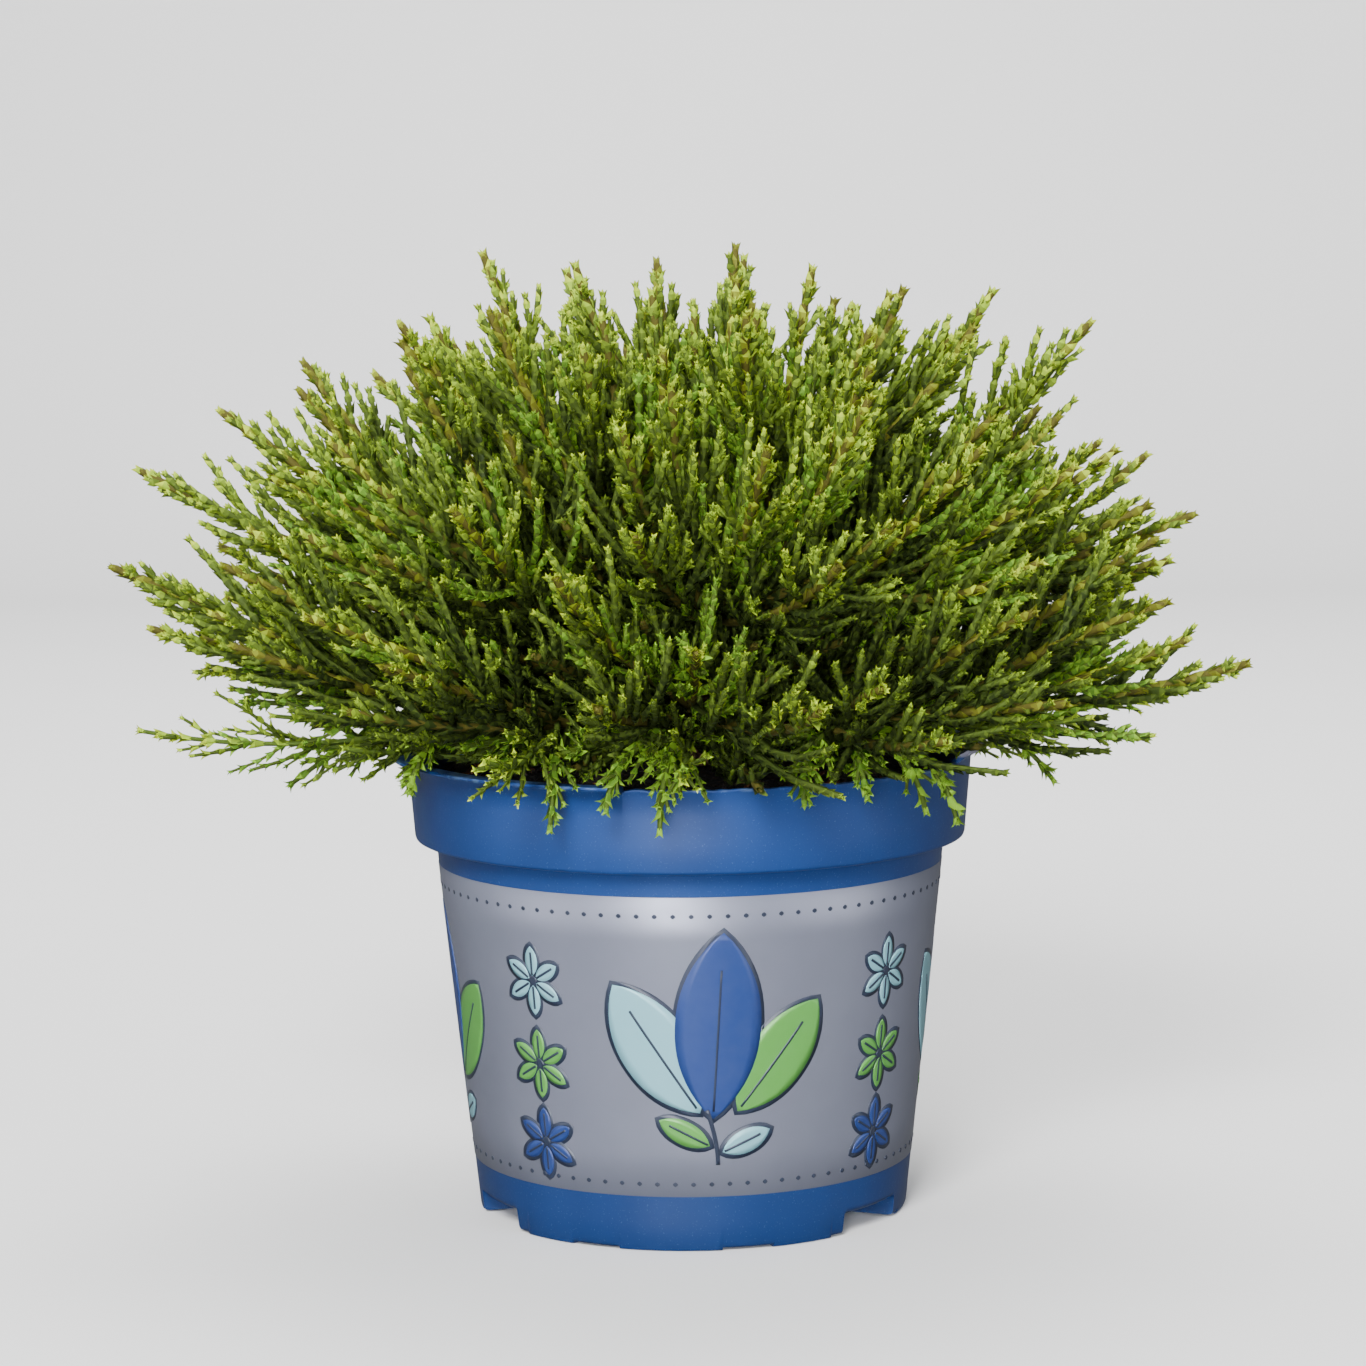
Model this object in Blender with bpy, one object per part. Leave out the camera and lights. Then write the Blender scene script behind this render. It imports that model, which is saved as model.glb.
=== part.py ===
"""A young whipcord shrub in a round nursery pot, as one solid for each sub-part.

A short stem stands in the compost and carries a ring of boughs on its crown. Each bough ends
at a mass of foliage: one stem with side plumes, each a slim core with teeth standing out of it
in opposite pairs, every pair a quarter turn from the last. Each mass keeps to a cone of space
of its own, seen from the crown's centre. Lengths are in metres, +Z is up, and the origin is
the middle of the pot's flat underside.
"""

import math
import random

import bmesh
import bpy
from mathutils import Matrix, Vector

MM = 0.001
GAP = 0.3 * MM
MERGE = 0.01 * MM
SMOOTH_ANGLE = 35
SEED = 7

# Base colour and roughness of each material
MATERIALS = {
    "pot_plastic": ((0.045, 0.145, 0.40), 0.38),
    "compost": ((0.018, 0.012, 0.009), 0.95),
    "bark": ((0.13, 0.075, 0.04), 0.85),
    "foliage": ((0.16, 0.26, 0.035), 0.6),
}

# Pot
POT_HEIGHT = 100.5 * MM
FLANGE_RADIUS = 65.0 * MM
FLANGE_THICK = 0.8 * MM
COLLAR_TOP_RADIUS = 61.3 * MM
COLLAR_FOOT_RADIUS = 59.8 * MM
COLLAR_FOOT_Z = 81.9 * MM
BODY_TOP_RADIUS = 55.4 * MM
FOOT_RADIUS = 46.7 * MM
WALL = 1.3 * MM
FLOOR = 1.6 * MM
POT_STEPS = 48
POCKET_ANGLES = (-65, 54.5, 174)
POCKET_WIDTH = 24
POCKET_HEIGHT = 4.8 * MM
POCKET_DEPTH = 15.0 * MM
POCKET_ROUNDING = 1.2 * MM
ROUNDING_TURNS = (0, 30, 60, 90)
FOOT_CUT_REACH = 8.0 * MM
CUT_MARGIN = 3.0 * MM
# Shallow gaps that part the foot's pads: degrees on from each pocket, and width in degrees
PAD_GAPS = ((0, 32), (38.4, 13.7), (79.2, 13.7))
PAD_GAP_HEIGHT = 0.5 * MM
PAD_GAP_DEPTH = 11.0 * MM

# Where the flange is torn off, and bent up beside the tear
TEAR_FROM = -13
TEAR_TO = 68
TEAR_STEPS = 20
TEAR_EDGE_Z = 99.8 * MM
TEAR_EDGE_WAVE = 0.35 * MM
TEAR_SKIN = (0.1 * MM, 0.3 * MM)
TEAR_MARGINS = (0.5 * MM, 2.0 * MM)
BENT_FROM = 66
BENT_TO = 104
BENT_EDGE = 1.5 * MM
BENT_LIFT = 2.6 * MM

# Compost
COMPOST_STEPS = 24
COMPOST_TOP_Z = 97.0 * MM
COMPOST_EDGE_Z = 94.2 * MM
COMPOST_FLAT = 12.0 * MM
COMPOST_RINGS = (46.0 * MM, 29.0 * MM)
COMPOST_LUMPS = (-0.9 * MM, 0.27 * MM)

# Stem and boughs. Each level of the stem's foot has its height over the compost, its radius
# and how deeply it is lobed. The knuckle's rings are given by their rise in degrees.
CROWN_Z = 102.0 * MM
CENTRE = Vector((0, 0, CROWN_Z))
KNUCKLE_RADIUS = 6.0 * MM
KNUCKLE_RISES = (-15, 15, 42, 68)
STEM_LEVELS = ((GAP, 9.0 * MM, 0.16), (1.3 * MM, 6.66 * MM, 0.10), (2.6 * MM, 5.4 * MM, 0.03))
STEM_LOBES = 3
STEM_SIDES = 12
STEM_LEAN = 0.6 * MM
BOUGH_END = 37.0 * MM
STEM_GAP = 0.4 * MM
BOUGH_BASE_RADIUS = 1.25 * MM
BOUGH_TIP_RADIUS = 1.1 * MM
BOUGH_SIDES = 5
BOUGH_SHARES = (0, 0.3, 0.65, 1)
BOUGH_BEND = 7
BOUGH_SMOOTH_ANGLE = 60

# Tiers of foliage masses: name, how many, elevation and first azimuth in degrees
TIERS = (
    ("top", 1, 89, 0),
    ("upper", 5, 62, 20),
    ("middle", 8, 36, 4),
    ("lower", 10, 10, 18),
)

# Crown: plumes by even steps of height and the golden angle, each then moved a little
PLUMES = 128
GOLDEN_ANGLE = 137.508
AZIMUTH_JITTER = 4
ELEVATION_JITTER = 2
LOWEST_PLUME = 1
REACH_TOP = 107.0 * MM
REACH_SIDE = 125.0 * MM
LOW_SHARE = 0.72
LOW_UNTIL = 12
REACH_SHARES = {"plume": (0.85, 0.95), "leader": (0.95, 1.0)}
LEADER_CHANCE = 0.35
CELL_MARGIN = 0.25 * MM
PLUME_MARGIN = 3.4 * MM
TIP_MARGINS = {"plume": PLUME_MARGIN, "leader": 1.5 * MM}
PULL_ROUNDS = 4
SIBLING_OVERLAP = 1.0 * MM
SAME_DIRECTION = 0.01
SIDE_ROOTS = (43.0 * MM, 60.0 * MM)
UPTURN = 0.09
UPTURN_SPREAD = 0.07
BEND_SHARE = 0.5
LENGTH_STEPS = 8
CORE_RADIUS = 1.15 * MM
STATIONS = 6
TOOTH_SLANT = 34
TOOTH_SPREAD = 0.118
TOOTH_TAPER = 0.42
TOOTH_LEAST = 1.5 * MM
TOOTH_SHARE = (0.78, 1.05)
TOOTH_CUTS = (1, 0.75, 0.5)
TOOTHED_LENGTH = 62.0 * MM
FIRST_TOOTH = {"plume": 0.22, "leader": 0.22, "sprig": 0.58}
TIP_LENGTHS = {"plume": 9.0 * MM, "leader": 17.0 * MM, "sprig": 4.5 * MM}
ROOT_SINK = 2.6 * MM

# Shoot tips that stand out round the crown as seen from the front: right and up from the
# pot's foot, in millimetres
OUTLINE_TIPS = (
    (-119, 107), (-116, 126), (-124, 142), (-118, 161), (-100, 175), (-82, 184), (-61, 193),
    (-43, 207), (-7, 199), (11, 208), (47, 199), (66, 198), (87, 192), (99, 162), (109, 151),
    (104, 139), (121, 119), (103, 108),
)
OUTLINE_DEPTH = 14.0 * MM
VIEW_DISTANCE = 0.9

# Small sprigs that hang over the rim: degrees round from the front, reach and height in
# millimetres
SPRIG_TIPS = (
    (-92, 87, 93), (-57, 70, 97), (-24, 70, 93), (-14, 70, 97), (-5, 71, 93), (19, 70, 98),
    (31, 70, 98), (43, 71, 94), (50, 72, 91), (88, 79, 93),
    (118, 74, 95), (146, 71, 93), (171, 76, 96), (199, 70, 94), (226, 73, 92), (248, 80, 95),
)
SPRIG_ROOT = 50.0 * MM
SPRIG_CORE = 0.9 * MM
SPRIG_TOOTH = 4.5 * MM
SPRIG_STATIONS = 3
SPRIG_CREST_REACH = 66.5 * MM
SPRIG_CREST_Z = 109.0 * MM
SPRIG_MARGIN = 1.5 * MM

# How low foliage may come over the compost and over the rim
OVER_COMPOST = 98.0 * MM
OVER_RIM = 101.3 * MM
RIM_INSIDE = 57.0 * MM
RIM_OUTSIDE = 66.4 * MM
BENT_RIM_CLEARANCE = 3.2 * MM
BENT_MARGIN = 4
CORE_CLEARANCE = 1.3 * MM
EDGE_STEPS = 8
LIFT_STEPS = 16
LIFT_ROUNDS = 20
LIFT = 1.0 * MM


def clear_scene():
    """Removes every object and mesh that is there at the start."""
    for obj in list(bpy.data.objects):
        bpy.data.objects.remove(obj, do_unlink=True)
    for mesh in list(bpy.data.meshes):
        bpy.data.meshes.remove(mesh)


def make_material(name):
    """A plain Principled material, not metallic."""
    colour, roughness = MATERIALS[name]
    material = bpy.data.materials.new(name)
    material.use_nodes = True
    shader = material.node_tree.nodes["Principled BSDF"]
    shader.inputs["Base Color"].default_value = (*colour, 1.0)
    shader.inputs["Roughness"].default_value = roughness
    shader.inputs["Metallic"].default_value = 0.0
    material.diffuse_color = (*colour, 1.0)
    return material


def add_object(name, mesh):
    """Puts a mesh in the scene as a named object."""
    obj = bpy.data.objects.new(name, mesh)
    bpy.context.scene.collection.objects.link(obj)
    return obj


def smooth(obj, angle=SMOOTH_ANGLE):
    """Shades a round piece smooth, with its real edges kept sharp."""
    obj.data.shade_smooth()
    obj.data.set_sharp_from_angle(angle=math.radians(angle))


def around(radius, degrees, height):
    """A point at this radius and height, turned from the front (-Y) towards the right (+X)."""
    turn = math.radians(degrees)
    return Vector((radius * math.sin(turn), -radius * math.cos(turn), height))


def turned(name, profile, steps):
    """A solid turned about Z from a profile that starts and ends on the axis."""
    bm = bmesh.new()
    points = [bm.verts.new((radius, 0, height)) for radius, height in profile]
    edges = [bm.edges.new(pair) for pair in zip(points, points[1:])]
    bmesh.ops.spin(
        bm, geom=points + edges, cent=(0, 0, 0), axis=(0, 0, 1),
        angle=math.tau, steps=steps, use_merge=True,
    )
    bmesh.ops.remove_doubles(bm, verts=bm.verts, dist=MERGE)
    bmesh.ops.recalc_face_normals(bm, faces=bm.faces)
    mesh = bpy.data.meshes.new(name)
    bm.to_mesh(mesh)
    bm.free()
    return add_object(name, mesh)


def lofted(name, rings):
    """A closed strip through rings of equal length, capped at its first and last ring."""
    bm = bmesh.new()
    rows = [[bm.verts.new(point) for point in ring] for ring in rings]
    for low, high in zip(rows, rows[1:]):
        for i, corner in enumerate(low):
            after = (i + 1) % len(low)
            bm.faces.new((corner, low[after], high[after], high[i]))
    bm.faces.new(rows[0])
    bm.faces.new(rows[-1])
    bmesh.ops.recalc_face_normals(bm, faces=bm.faces)
    mesh = bpy.data.meshes.new(name)
    bm.to_mesh(mesh)
    bm.free()
    return add_object(name, mesh)


def boolean(target, others, operation):
    """Applies one exact Boolean of target with the others, and removes the others."""
    group = bpy.data.collections.new("operands")
    for other in others:
        group.objects.link(other)
    modifier = target.modifiers.new("boolean", "BOOLEAN")
    modifier.operation = operation
    modifier.solver = "EXACT"
    modifier.operand_type = "COLLECTION"
    modifier.collection = group
    graph = bpy.context.evaluated_depsgraph_get()
    mesh = bpy.data.meshes.new_from_object(target.evaluated_get(graph))
    target.modifiers.remove(modifier)
    target.data = mesh
    for other in others:
        bpy.data.objects.remove(other, do_unlink=True)
    bpy.data.collections.remove(group)


def foot_block(middle, width, depth, levels):
    """A block to cut from the foot's edge. Each level has its height and how far it is drawn in."""
    inner = FOOT_RADIUS - depth
    outer = FOOT_RADIUS + FOOT_CUT_REACH
    rings = []
    for height, drawn_in in levels:
        half = width / 2 - math.degrees(drawn_in / FOOT_RADIUS)
        rings.append([
            around(inner, middle - half, height),
            around(inner, middle + half, height),
            around(outer, middle + half, height),
            around(outer, middle - half, height),
        ])
    return lofted("foot_block", rings)


def pocket_blocks(grow):
    """The drainage pockets, rounded at their upper corners, made larger all round by grow."""
    levels = [(-CUT_MARGIN, -grow)]
    for degrees in ROUNDING_TURNS:
        turn = math.radians(degrees)
        height = POCKET_HEIGHT + grow - POCKET_ROUNDING * (1 - math.sin(turn))
        levels.append((height, POCKET_ROUNDING * (1 - math.cos(turn)) - grow))
    depth = POCKET_DEPTH + grow
    return [foot_block(middle, POCKET_WIDTH, depth, levels) for middle in POCKET_ANGLES]


def pad_gap_blocks():
    """The shallow gaps round the foot's lower edge, one at each pocket and two between."""
    levels = ((-CUT_MARGIN, 0), (PAD_GAP_HEIGHT, 0))
    return [
        foot_block(pocket + turn, width, PAD_GAP_DEPTH, levels)
        for pocket in POCKET_ANGLES
        for turn, width in PAD_GAPS
    ]


def collar_radius(height):
    """The collar's outer radius, which widens evenly upwards."""
    share = (height - COLLAR_FOOT_Z) / (POT_HEIGHT - FLANGE_THICK - COLLAR_FOOT_Z)
    return COLLAR_FOOT_RADIUS + share * (COLLAR_TOP_RADIUS - COLLAR_FOOT_RADIUS)


def inner_profile(gap):
    """The pot's inner wall, kept clear of by gap, from the floor's middle to the collar's foot."""
    ledge = COLLAR_FOOT_Z + WALL + gap
    return [
        (0, FLOOR + gap),
        (FOOT_RADIUS - WALL - gap, FLOOR + gap),
        (BODY_TOP_RADIUS - WALL - gap, ledge),
        (COLLAR_FOOT_RADIUS - WALL - gap, ledge),
    ]


def tear_cutter():
    """A strip that takes away the flange where it is torn off, with an uneven edge."""
    chance = random.Random(SEED)
    below, above = TEAR_MARGINS
    low = POT_HEIGHT - FLANGE_THICK - below
    high = POT_HEIGHT + above
    inside = COLLAR_TOP_RADIUS - CUT_MARGIN
    outside = FLANGE_RADIUS + CUT_MARGIN
    rings = []
    for step in range(TEAR_STEPS + 1):
        turn = TEAR_FROM + (TEAR_TO - TEAR_FROM) * step / TEAR_STEPS
        edge = TEAR_EDGE_Z + chance.uniform(-1, 1) * TEAR_EDGE_WAVE
        skin = COLLAR_TOP_RADIUS + chance.uniform(*TEAR_SKIN)
        rings.append([
            around(inside, turn, edge),
            around(skin, turn, edge),
            around(skin, turn, low),
            around(outside, turn, low),
            around(outside, turn, high),
            around(inside, turn, high),
        ])
    return lofted("tear_cutter", rings)


def bend_flange(pot):
    """Lifts the flange's outer edge beside the end of the tear."""
    for vertex in pot.data.vertices:
        x, y = vertex.co.xy
        turn = math.degrees(math.atan2(x, -y))
        at_edge = math.hypot(x, y) > FLANGE_RADIUS - BENT_EDGE
        if at_edge and BENT_FROM < turn < BENT_TO:
            vertex.co.z += BENT_LIFT * (BENT_TO - turn) / (BENT_TO - BENT_FROM)


def make_pot(material):
    """The nursery pot: tapered body, stepped collar, thin flange, pockets and foot pads."""
    pot = turned("pot", [
        (0, 0),
        (FOOT_RADIUS, 0),
        (BODY_TOP_RADIUS, COLLAR_FOOT_Z),
        (COLLAR_FOOT_RADIUS, COLLAR_FOOT_Z),
        (COLLAR_TOP_RADIUS, POT_HEIGHT - FLANGE_THICK),
        (FLANGE_RADIUS, POT_HEIGHT - FLANGE_THICK),
        (FLANGE_RADIUS, POT_HEIGHT),
        (0, POT_HEIGHT),
    ], POT_STEPS)
    above = POT_HEIGHT + CUT_MARGIN
    cavity = turned("cavity", [
        *inner_profile(0), (collar_radius(above) - WALL, above), (0, above),
    ], POT_STEPS)
    boolean(cavity, pocket_blocks(WALL), "DIFFERENCE")
    boolean(pot, [cavity, tear_cutter(), *pocket_blocks(0), *pad_gap_blocks()], "DIFFERENCE")
    bend_flange(pot)
    pot.data.materials.append(material)
    smooth(pot)
    return pot


def make_compost(material):
    """The compost that fills the pot, flat round the stem and uneven towards the wall."""
    edge = collar_radius(COMPOST_EDGE_Z) - WALL - GAP
    profile = [*inner_profile(GAP), (edge, COMPOST_EDGE_Z)]
    for radius in COMPOST_RINGS:
        share = (edge - radius) / (edge - COMPOST_FLAT)
        profile.append((radius, COMPOST_EDGE_Z + share * (COMPOST_TOP_Z - COMPOST_EDGE_Z)))
    profile += [(COMPOST_FLAT, COMPOST_TOP_Z), (0, COMPOST_TOP_Z)]
    compost = turned("compost", profile, COMPOST_STEPS)
    chance = random.Random(SEED)
    for vertex in compost.data.vertices:
        radius = math.hypot(vertex.co.x, vertex.co.y)
        if vertex.co.z > COMPOST_EDGE_Z - MERGE and radius > COMPOST_FLAT + MERGE:
            vertex.co.z += chance.uniform(*COMPOST_LUMPS)
    boolean(compost, pocket_blocks(WALL + GAP), "DIFFERENCE")
    compost.data.materials.append(material)
    return compost


def aim(azimuth, elevation):
    """The unit vector at this azimuth (from +X towards +Y) and elevation, in degrees."""
    turn = math.radians(azimuth)
    rise = math.radians(elevation)
    return Vector((
        math.cos(rise) * math.cos(turn), math.cos(rise) * math.sin(turn), math.sin(rise),
    ))


def make_stem(material):
    """The short stem: a lobed flare on the compost, a waist, and the knuckle of the fork."""
    levels = [(COMPOST_TOP_Z + rise, radius, lobes) for rise, radius, lobes in STEM_LEVELS]
    for rise in KNUCKLE_RISES:
        turn = math.radians(rise)
        height = CROWN_Z + KNUCKLE_RADIUS * math.sin(turn)
        levels.append((height, KNUCKLE_RADIUS * math.cos(turn), 0))
    base = levels[0][0]
    rings = []
    for height, radius, lobes in levels:
        lean = STEM_LEAN * max(0, (CROWN_Z - height) / (CROWN_Z - base))
        ring = []
        for side in range(STEM_SIDES):
            turn = math.tau * side / STEM_SIDES
            out = radius * (1 + lobes * math.cos(STEM_LOBES * turn))
            ring.append((out * math.cos(turn) + lean, out * math.sin(turn), height))
        rings.append(ring)
    stem = lofted("main_stem", rings)
    stem.data.materials.append(material)
    smooth(stem)
    return stem


def frames(points, roll):
    """Each point with two cross directions that don't twist along the run, and its tangent."""
    found = []
    across = None
    for i, point in enumerate(points):
        tangent = (points[min(i + 1, len(points) - 1)] - points[max(i - 1, 0)]).normalized()
        if across is None:
            across = Matrix.Rotation(roll, 3, tangent) @ tangent.orthogonal().normalized()
        across = (across - across.dot(tangent) * tangent).normalized()
        found.append((point, across, tangent.cross(across), tangent))
    return found


def tube(name, points, radii, sides):
    """A tapering limb through the points, with flat ends square to its run."""
    rings = []
    for (point, across, up, _), radius in zip(frames(points, 0), radii):
        turns = [math.tau * side / sides for side in range(sides)]
        rings.append([
            point + radius * (math.cos(turn) * across + math.sin(turn) * up) for turn in turns
        ])
    return lofted(name, rings)


def curve_point(control, share):
    """A point along a curve bent towards its middle control point."""
    start, bend, end = control
    rest = 1 - share
    return rest * rest * start + 2 * rest * share * bend + share * share * end


def mass_axes():
    """Each foliage mass's name and the direction in which it lies."""
    axes = []
    for tier, count, elevation, first in TIERS:
        for i in range(count):
            name = tier if count == 1 else f"{tier}_{i + 1:02d}"
            axes.append((name, aim(first + 360 * i / count, elevation)))
    return axes


def bough_points(axis):
    """The run of a bough: it leaves the knuckle a little low and bends up to its mass."""
    hinge = Vector((-axis.y, axis.x, 0))
    level = hinge.length
    points = []
    for share in BOUGH_SHARES:
        distance = KNUCKLE_RADIUS + GAP + share * (BOUGH_END - KNUCKLE_RADIUS - GAP)
        drop = math.radians(BOUGH_BEND) * level * (1 - share) ** 2
        turned_axis = Matrix.Rotation(drop, 3, hinge.normalized()) @ axis if level else axis
        points.append(CENTRE + distance * turned_axis)
    return points


def make_boughs(axes, material):
    """One tapering limb for each mass, from the knuckle to the mass's stem."""
    for name, axis in axes:
        points = bough_points(axis)
        step = (BOUGH_TIP_RADIUS - BOUGH_BASE_RADIUS) / (len(points) - 1)
        radii = [BOUGH_BASE_RADIUS + step * i for i in range(len(points))]
        bough = tube(f"bough_{name}", points, radii, BOUGH_SIDES)
        bough.data.materials.append(material)
        smooth(bough, BOUGH_SMOOTH_ANGLE)


def crown_reach(direction):
    """How far from the centre the longest shoots stand in this direction."""
    elevation = math.asin(direction.z)
    reach = REACH_TOP + (REACH_SIDE - REACH_TOP) * math.cos(elevation)
    droop = LOW_SHARE + (1 - LOW_SHARE) * math.degrees(elevation) / LOW_UNTIL
    return reach * min(1, max(LOW_SHARE, droop))


def outline_points():
    """The tips that stand out round the crown, each set a little before or behind it."""
    points = []
    for i, (right, up) in enumerate(OUTLINE_TIPS):
        depth = OUTLINE_DEPTH * (1 if i % 2 else -1)
        nearer = 1 + depth / VIEW_DISTANCE
        points.append(Vector((right * MM * nearer, depth, up * MM)))
    return points


def plume_tips(chance):
    """Where each plume's tip stands, spread evenly over the crown, and what kind it is."""
    lowest = math.sin(math.radians(LOWEST_PLUME))
    tips = []
    for i in range(PLUMES):
        rise = 1 - (1 - lowest) * (i + 0.5) / PLUMES
        azimuth = i * GOLDEN_ANGLE + chance.uniform(-1, 1) * AZIMUTH_JITTER
        elevation = math.degrees(math.asin(rise)) + chance.uniform(-1, 1) * ELEVATION_JITTER
        direction = aim(azimuth, max(LOWEST_PLUME, elevation))
        to_the_side = abs(direction.x) > abs(direction.y)
        kind = "plume" if to_the_side or chance.random() > LEADER_CHANCE else "leader"
        reach = crown_reach(direction) * chance.uniform(*REACH_SHARES[kind])
        tips.append((CENTRE + reach * direction, kind))
    return tips + [(point, "leader") for point in outline_points()]


def cell_planes(axes, index):
    """The unit normals of the planes that bound one mass's cone, each pointing into it."""
    own = axes[index][1]
    return [(own - other).normalized() for i, (_, other) in enumerate(axes) if i != index]


def depth_in(point, planes):
    """How far the point stands inside the nearest of the planes."""
    return min(((point - CENTRE).dot(plane) for plane in planes), default=1.0)


def pulled_in(point, planes, margin):
    """The point, moved into the cone if it is nearer than margin to one of its planes."""
    point = point.copy()
    for _ in range(PULL_ROUNDS):
        for plane in planes:
            depth = (point - CENTRE).dot(plane)
            if depth < margin:
                point += (margin - depth) * plane
    return point


def rim_height(point):
    """How low foliage may come at this point."""
    radius = math.hypot(point.x, point.y)
    if radius > RIM_OUTSIDE:
        return 0
    if radius < RIM_INSIDE:
        return OVER_COMPOST
    turn = math.degrees(math.atan2(point.x, -point.y))
    bent = BENT_FROM - BENT_MARGIN < turn < BENT_TO + BENT_MARGIN
    return OVER_RIM + (BENT_RIM_CLEARANCE if bent else 0)


def is_free(point, planes, roots):
    """True if the straight edges from the roots to the point keep to the cone and off the pot."""
    if depth_in(point, planes) < CELL_MARGIN:
        return False
    shares = [step / EDGE_STEPS for step in range(1, EDGE_STEPS + 1)]
    spots = [root.lerp(point, share) for root in roots for share in shares]
    return all(spot.z > rim_height(spot) for spot in spots)


def lifted(control):
    """The curve with its bend raised until its run clears the compost and the rim."""
    start, bend, tip = control
    bend = bend.copy()
    shares = [step / LIFT_STEPS for step in range(LIFT_STEPS + 1)]
    for _ in range(LIFT_ROUNDS):
        points = [curve_point((start, bend, tip), share) for share in shares]
        if all(point.z - CORE_CLEARANCE > rim_height(point) for point in points):
            break
        bend.z += LIFT
    return (start, bend, tip)


def plume_curve(start, tip, upturn, planes):
    """A plume's curve: it ends pointing away from the centre, turned up a little."""
    outwards = (tip - CENTRE).normalized()
    ending = (outwards + upturn * Vector((0, 0, 1))).normalized()
    bend = tip - BEND_SHARE * (tip - start).length * ending
    return lifted((start, pulled_in(bend, planes, PLUME_MARGIN), tip))


def nearest_axis(point, axes):
    """The index of the mass whose axis lies nearest to the direction of this point."""
    direction = (point - CENTRE).normalized()
    return max(range(len(axes)), key=lambda i: direction.dot(axes[i][1]))


def plan_crown(axes):
    """The shoots of each mass, its own stem first: each a curve and what kind of shoot it is."""
    chance = random.Random(SEED)
    own_tips = [[] for _ in axes]
    for point, kind in plume_tips(chance):
        own_tips[nearest_axis(point, axes)].append((point, kind))
    plans = []
    for index, (_, axis) in enumerate(axes):
        planes = cell_planes(axes, index)
        tips = [
            (pulled_in(point, planes, TIP_MARGINS[kind]), kind)
            for point, kind in own_tips[index]
        ]
        tips.sort(key=lambda tip: -(tip[0] - CENTRE).normalized().dot(axis))
        start = CENTRE + (BOUGH_END + STEM_GAP) * axis
        point, kind = tips[0]
        stem = plume_curve(start, point, chance.gauss(UPTURN, UPTURN_SPREAD), planes)
        shoots = [(stem, kind)]
        run = (point - start).length
        low, high = SIDE_ROOTS
        for rank, (point, kind) in enumerate(tips[1:]):
            distance = low + (high - low) * (rank + 0.5) / (len(tips) - 1)
            root = curve_point(stem, (distance - BOUGH_END) / run)
            upturn = chance.gauss(UPTURN, UPTURN_SPREAD)
            shoots.append((plume_curve(root, point, upturn, planes), kind))
        for turn, reach, height in SPRIG_TIPS:
            point = around(reach * MM, turn, height * MM)
            if nearest_axis(point, axes) != index:
                continue
            root = curve_point(stem, (SPRIG_ROOT - BOUGH_END) / run)
            crest = pulled_in(around(SPRIG_CREST_REACH, turn, SPRIG_CREST_Z), planes, SPRIG_MARGIN)
            shoots.append((lifted((root, crest, pulled_in(point, planes, SPRIG_MARGIN))), "sprig"))
        plans.append(shoots)
    return plans


def sibling_planes(shoots, index):
    """Planes halfway to the other plumes of the mass, which this one's teeth stay within."""
    own = (shoots[index][0][2] - CENTRE).normalized()
    planes = []
    for i, (control, kind) in enumerate(shoots):
        other = (control[2] - CENTRE).normalized()
        if i != index and kind != "sprig" and (own - other).length > SAME_DIRECTION:
            planes.append((own - other).normalized())
    return planes


def tooth_spread(kind, point, left):
    """How far a tooth stands out, by its distance from the centre and what is left to the tip."""
    if kind == "sprig":
        return SPRIG_TOOTH
    return min(TOOTH_SPREAD * (point - CENTRE).length, TOOTH_TAPER * left + TOOTH_LEAST)


def run_length(control):
    """The length of a curve, from a few of its points."""
    points = [curve_point(control, step / LENGTH_STEPS) for step in range(LENGTH_STEPS + 1)]
    return sum((after - before).length for before, after in zip(points, points[1:]))


def plume_shares(kind, length, flat):
    """Where the rings of a plume's core stand: its bare root, its teeth's stations, its tip."""
    stations = SPRIG_STATIONS if kind == "sprig" else STATIONS
    first = max(FIRST_TOOTH[kind], 1 - TOOTHED_LENGTH / length)
    last = 1 - TIP_LENGTHS[kind] / length
    bare = [0.0] if flat else [0.0, ROOT_SINK / length]
    return bare, [first + (last - first) * i / (stations - 1) for i in range(stations)]


def ring_faces(rings, is_tooth):
    """Triangles between rings of four corners, split so that each tooth has its own edges."""
    faces = []
    for low, high in zip(rings, rings[1:]):
        for i in range(4):
            after = (i + 1) % 4
            a, b, c, d = low[i], low[after], high[after], high[i]
            if a == b:
                faces.append((a, c, d))
            elif c == d:
                faces.append((a, b, c))
            elif is_tooth[a] or is_tooth[c]:
                faces += [(a, b, d), (b, c, d)]
            else:
                faces += [(a, b, c), (a, c, d)]
    return faces


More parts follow.
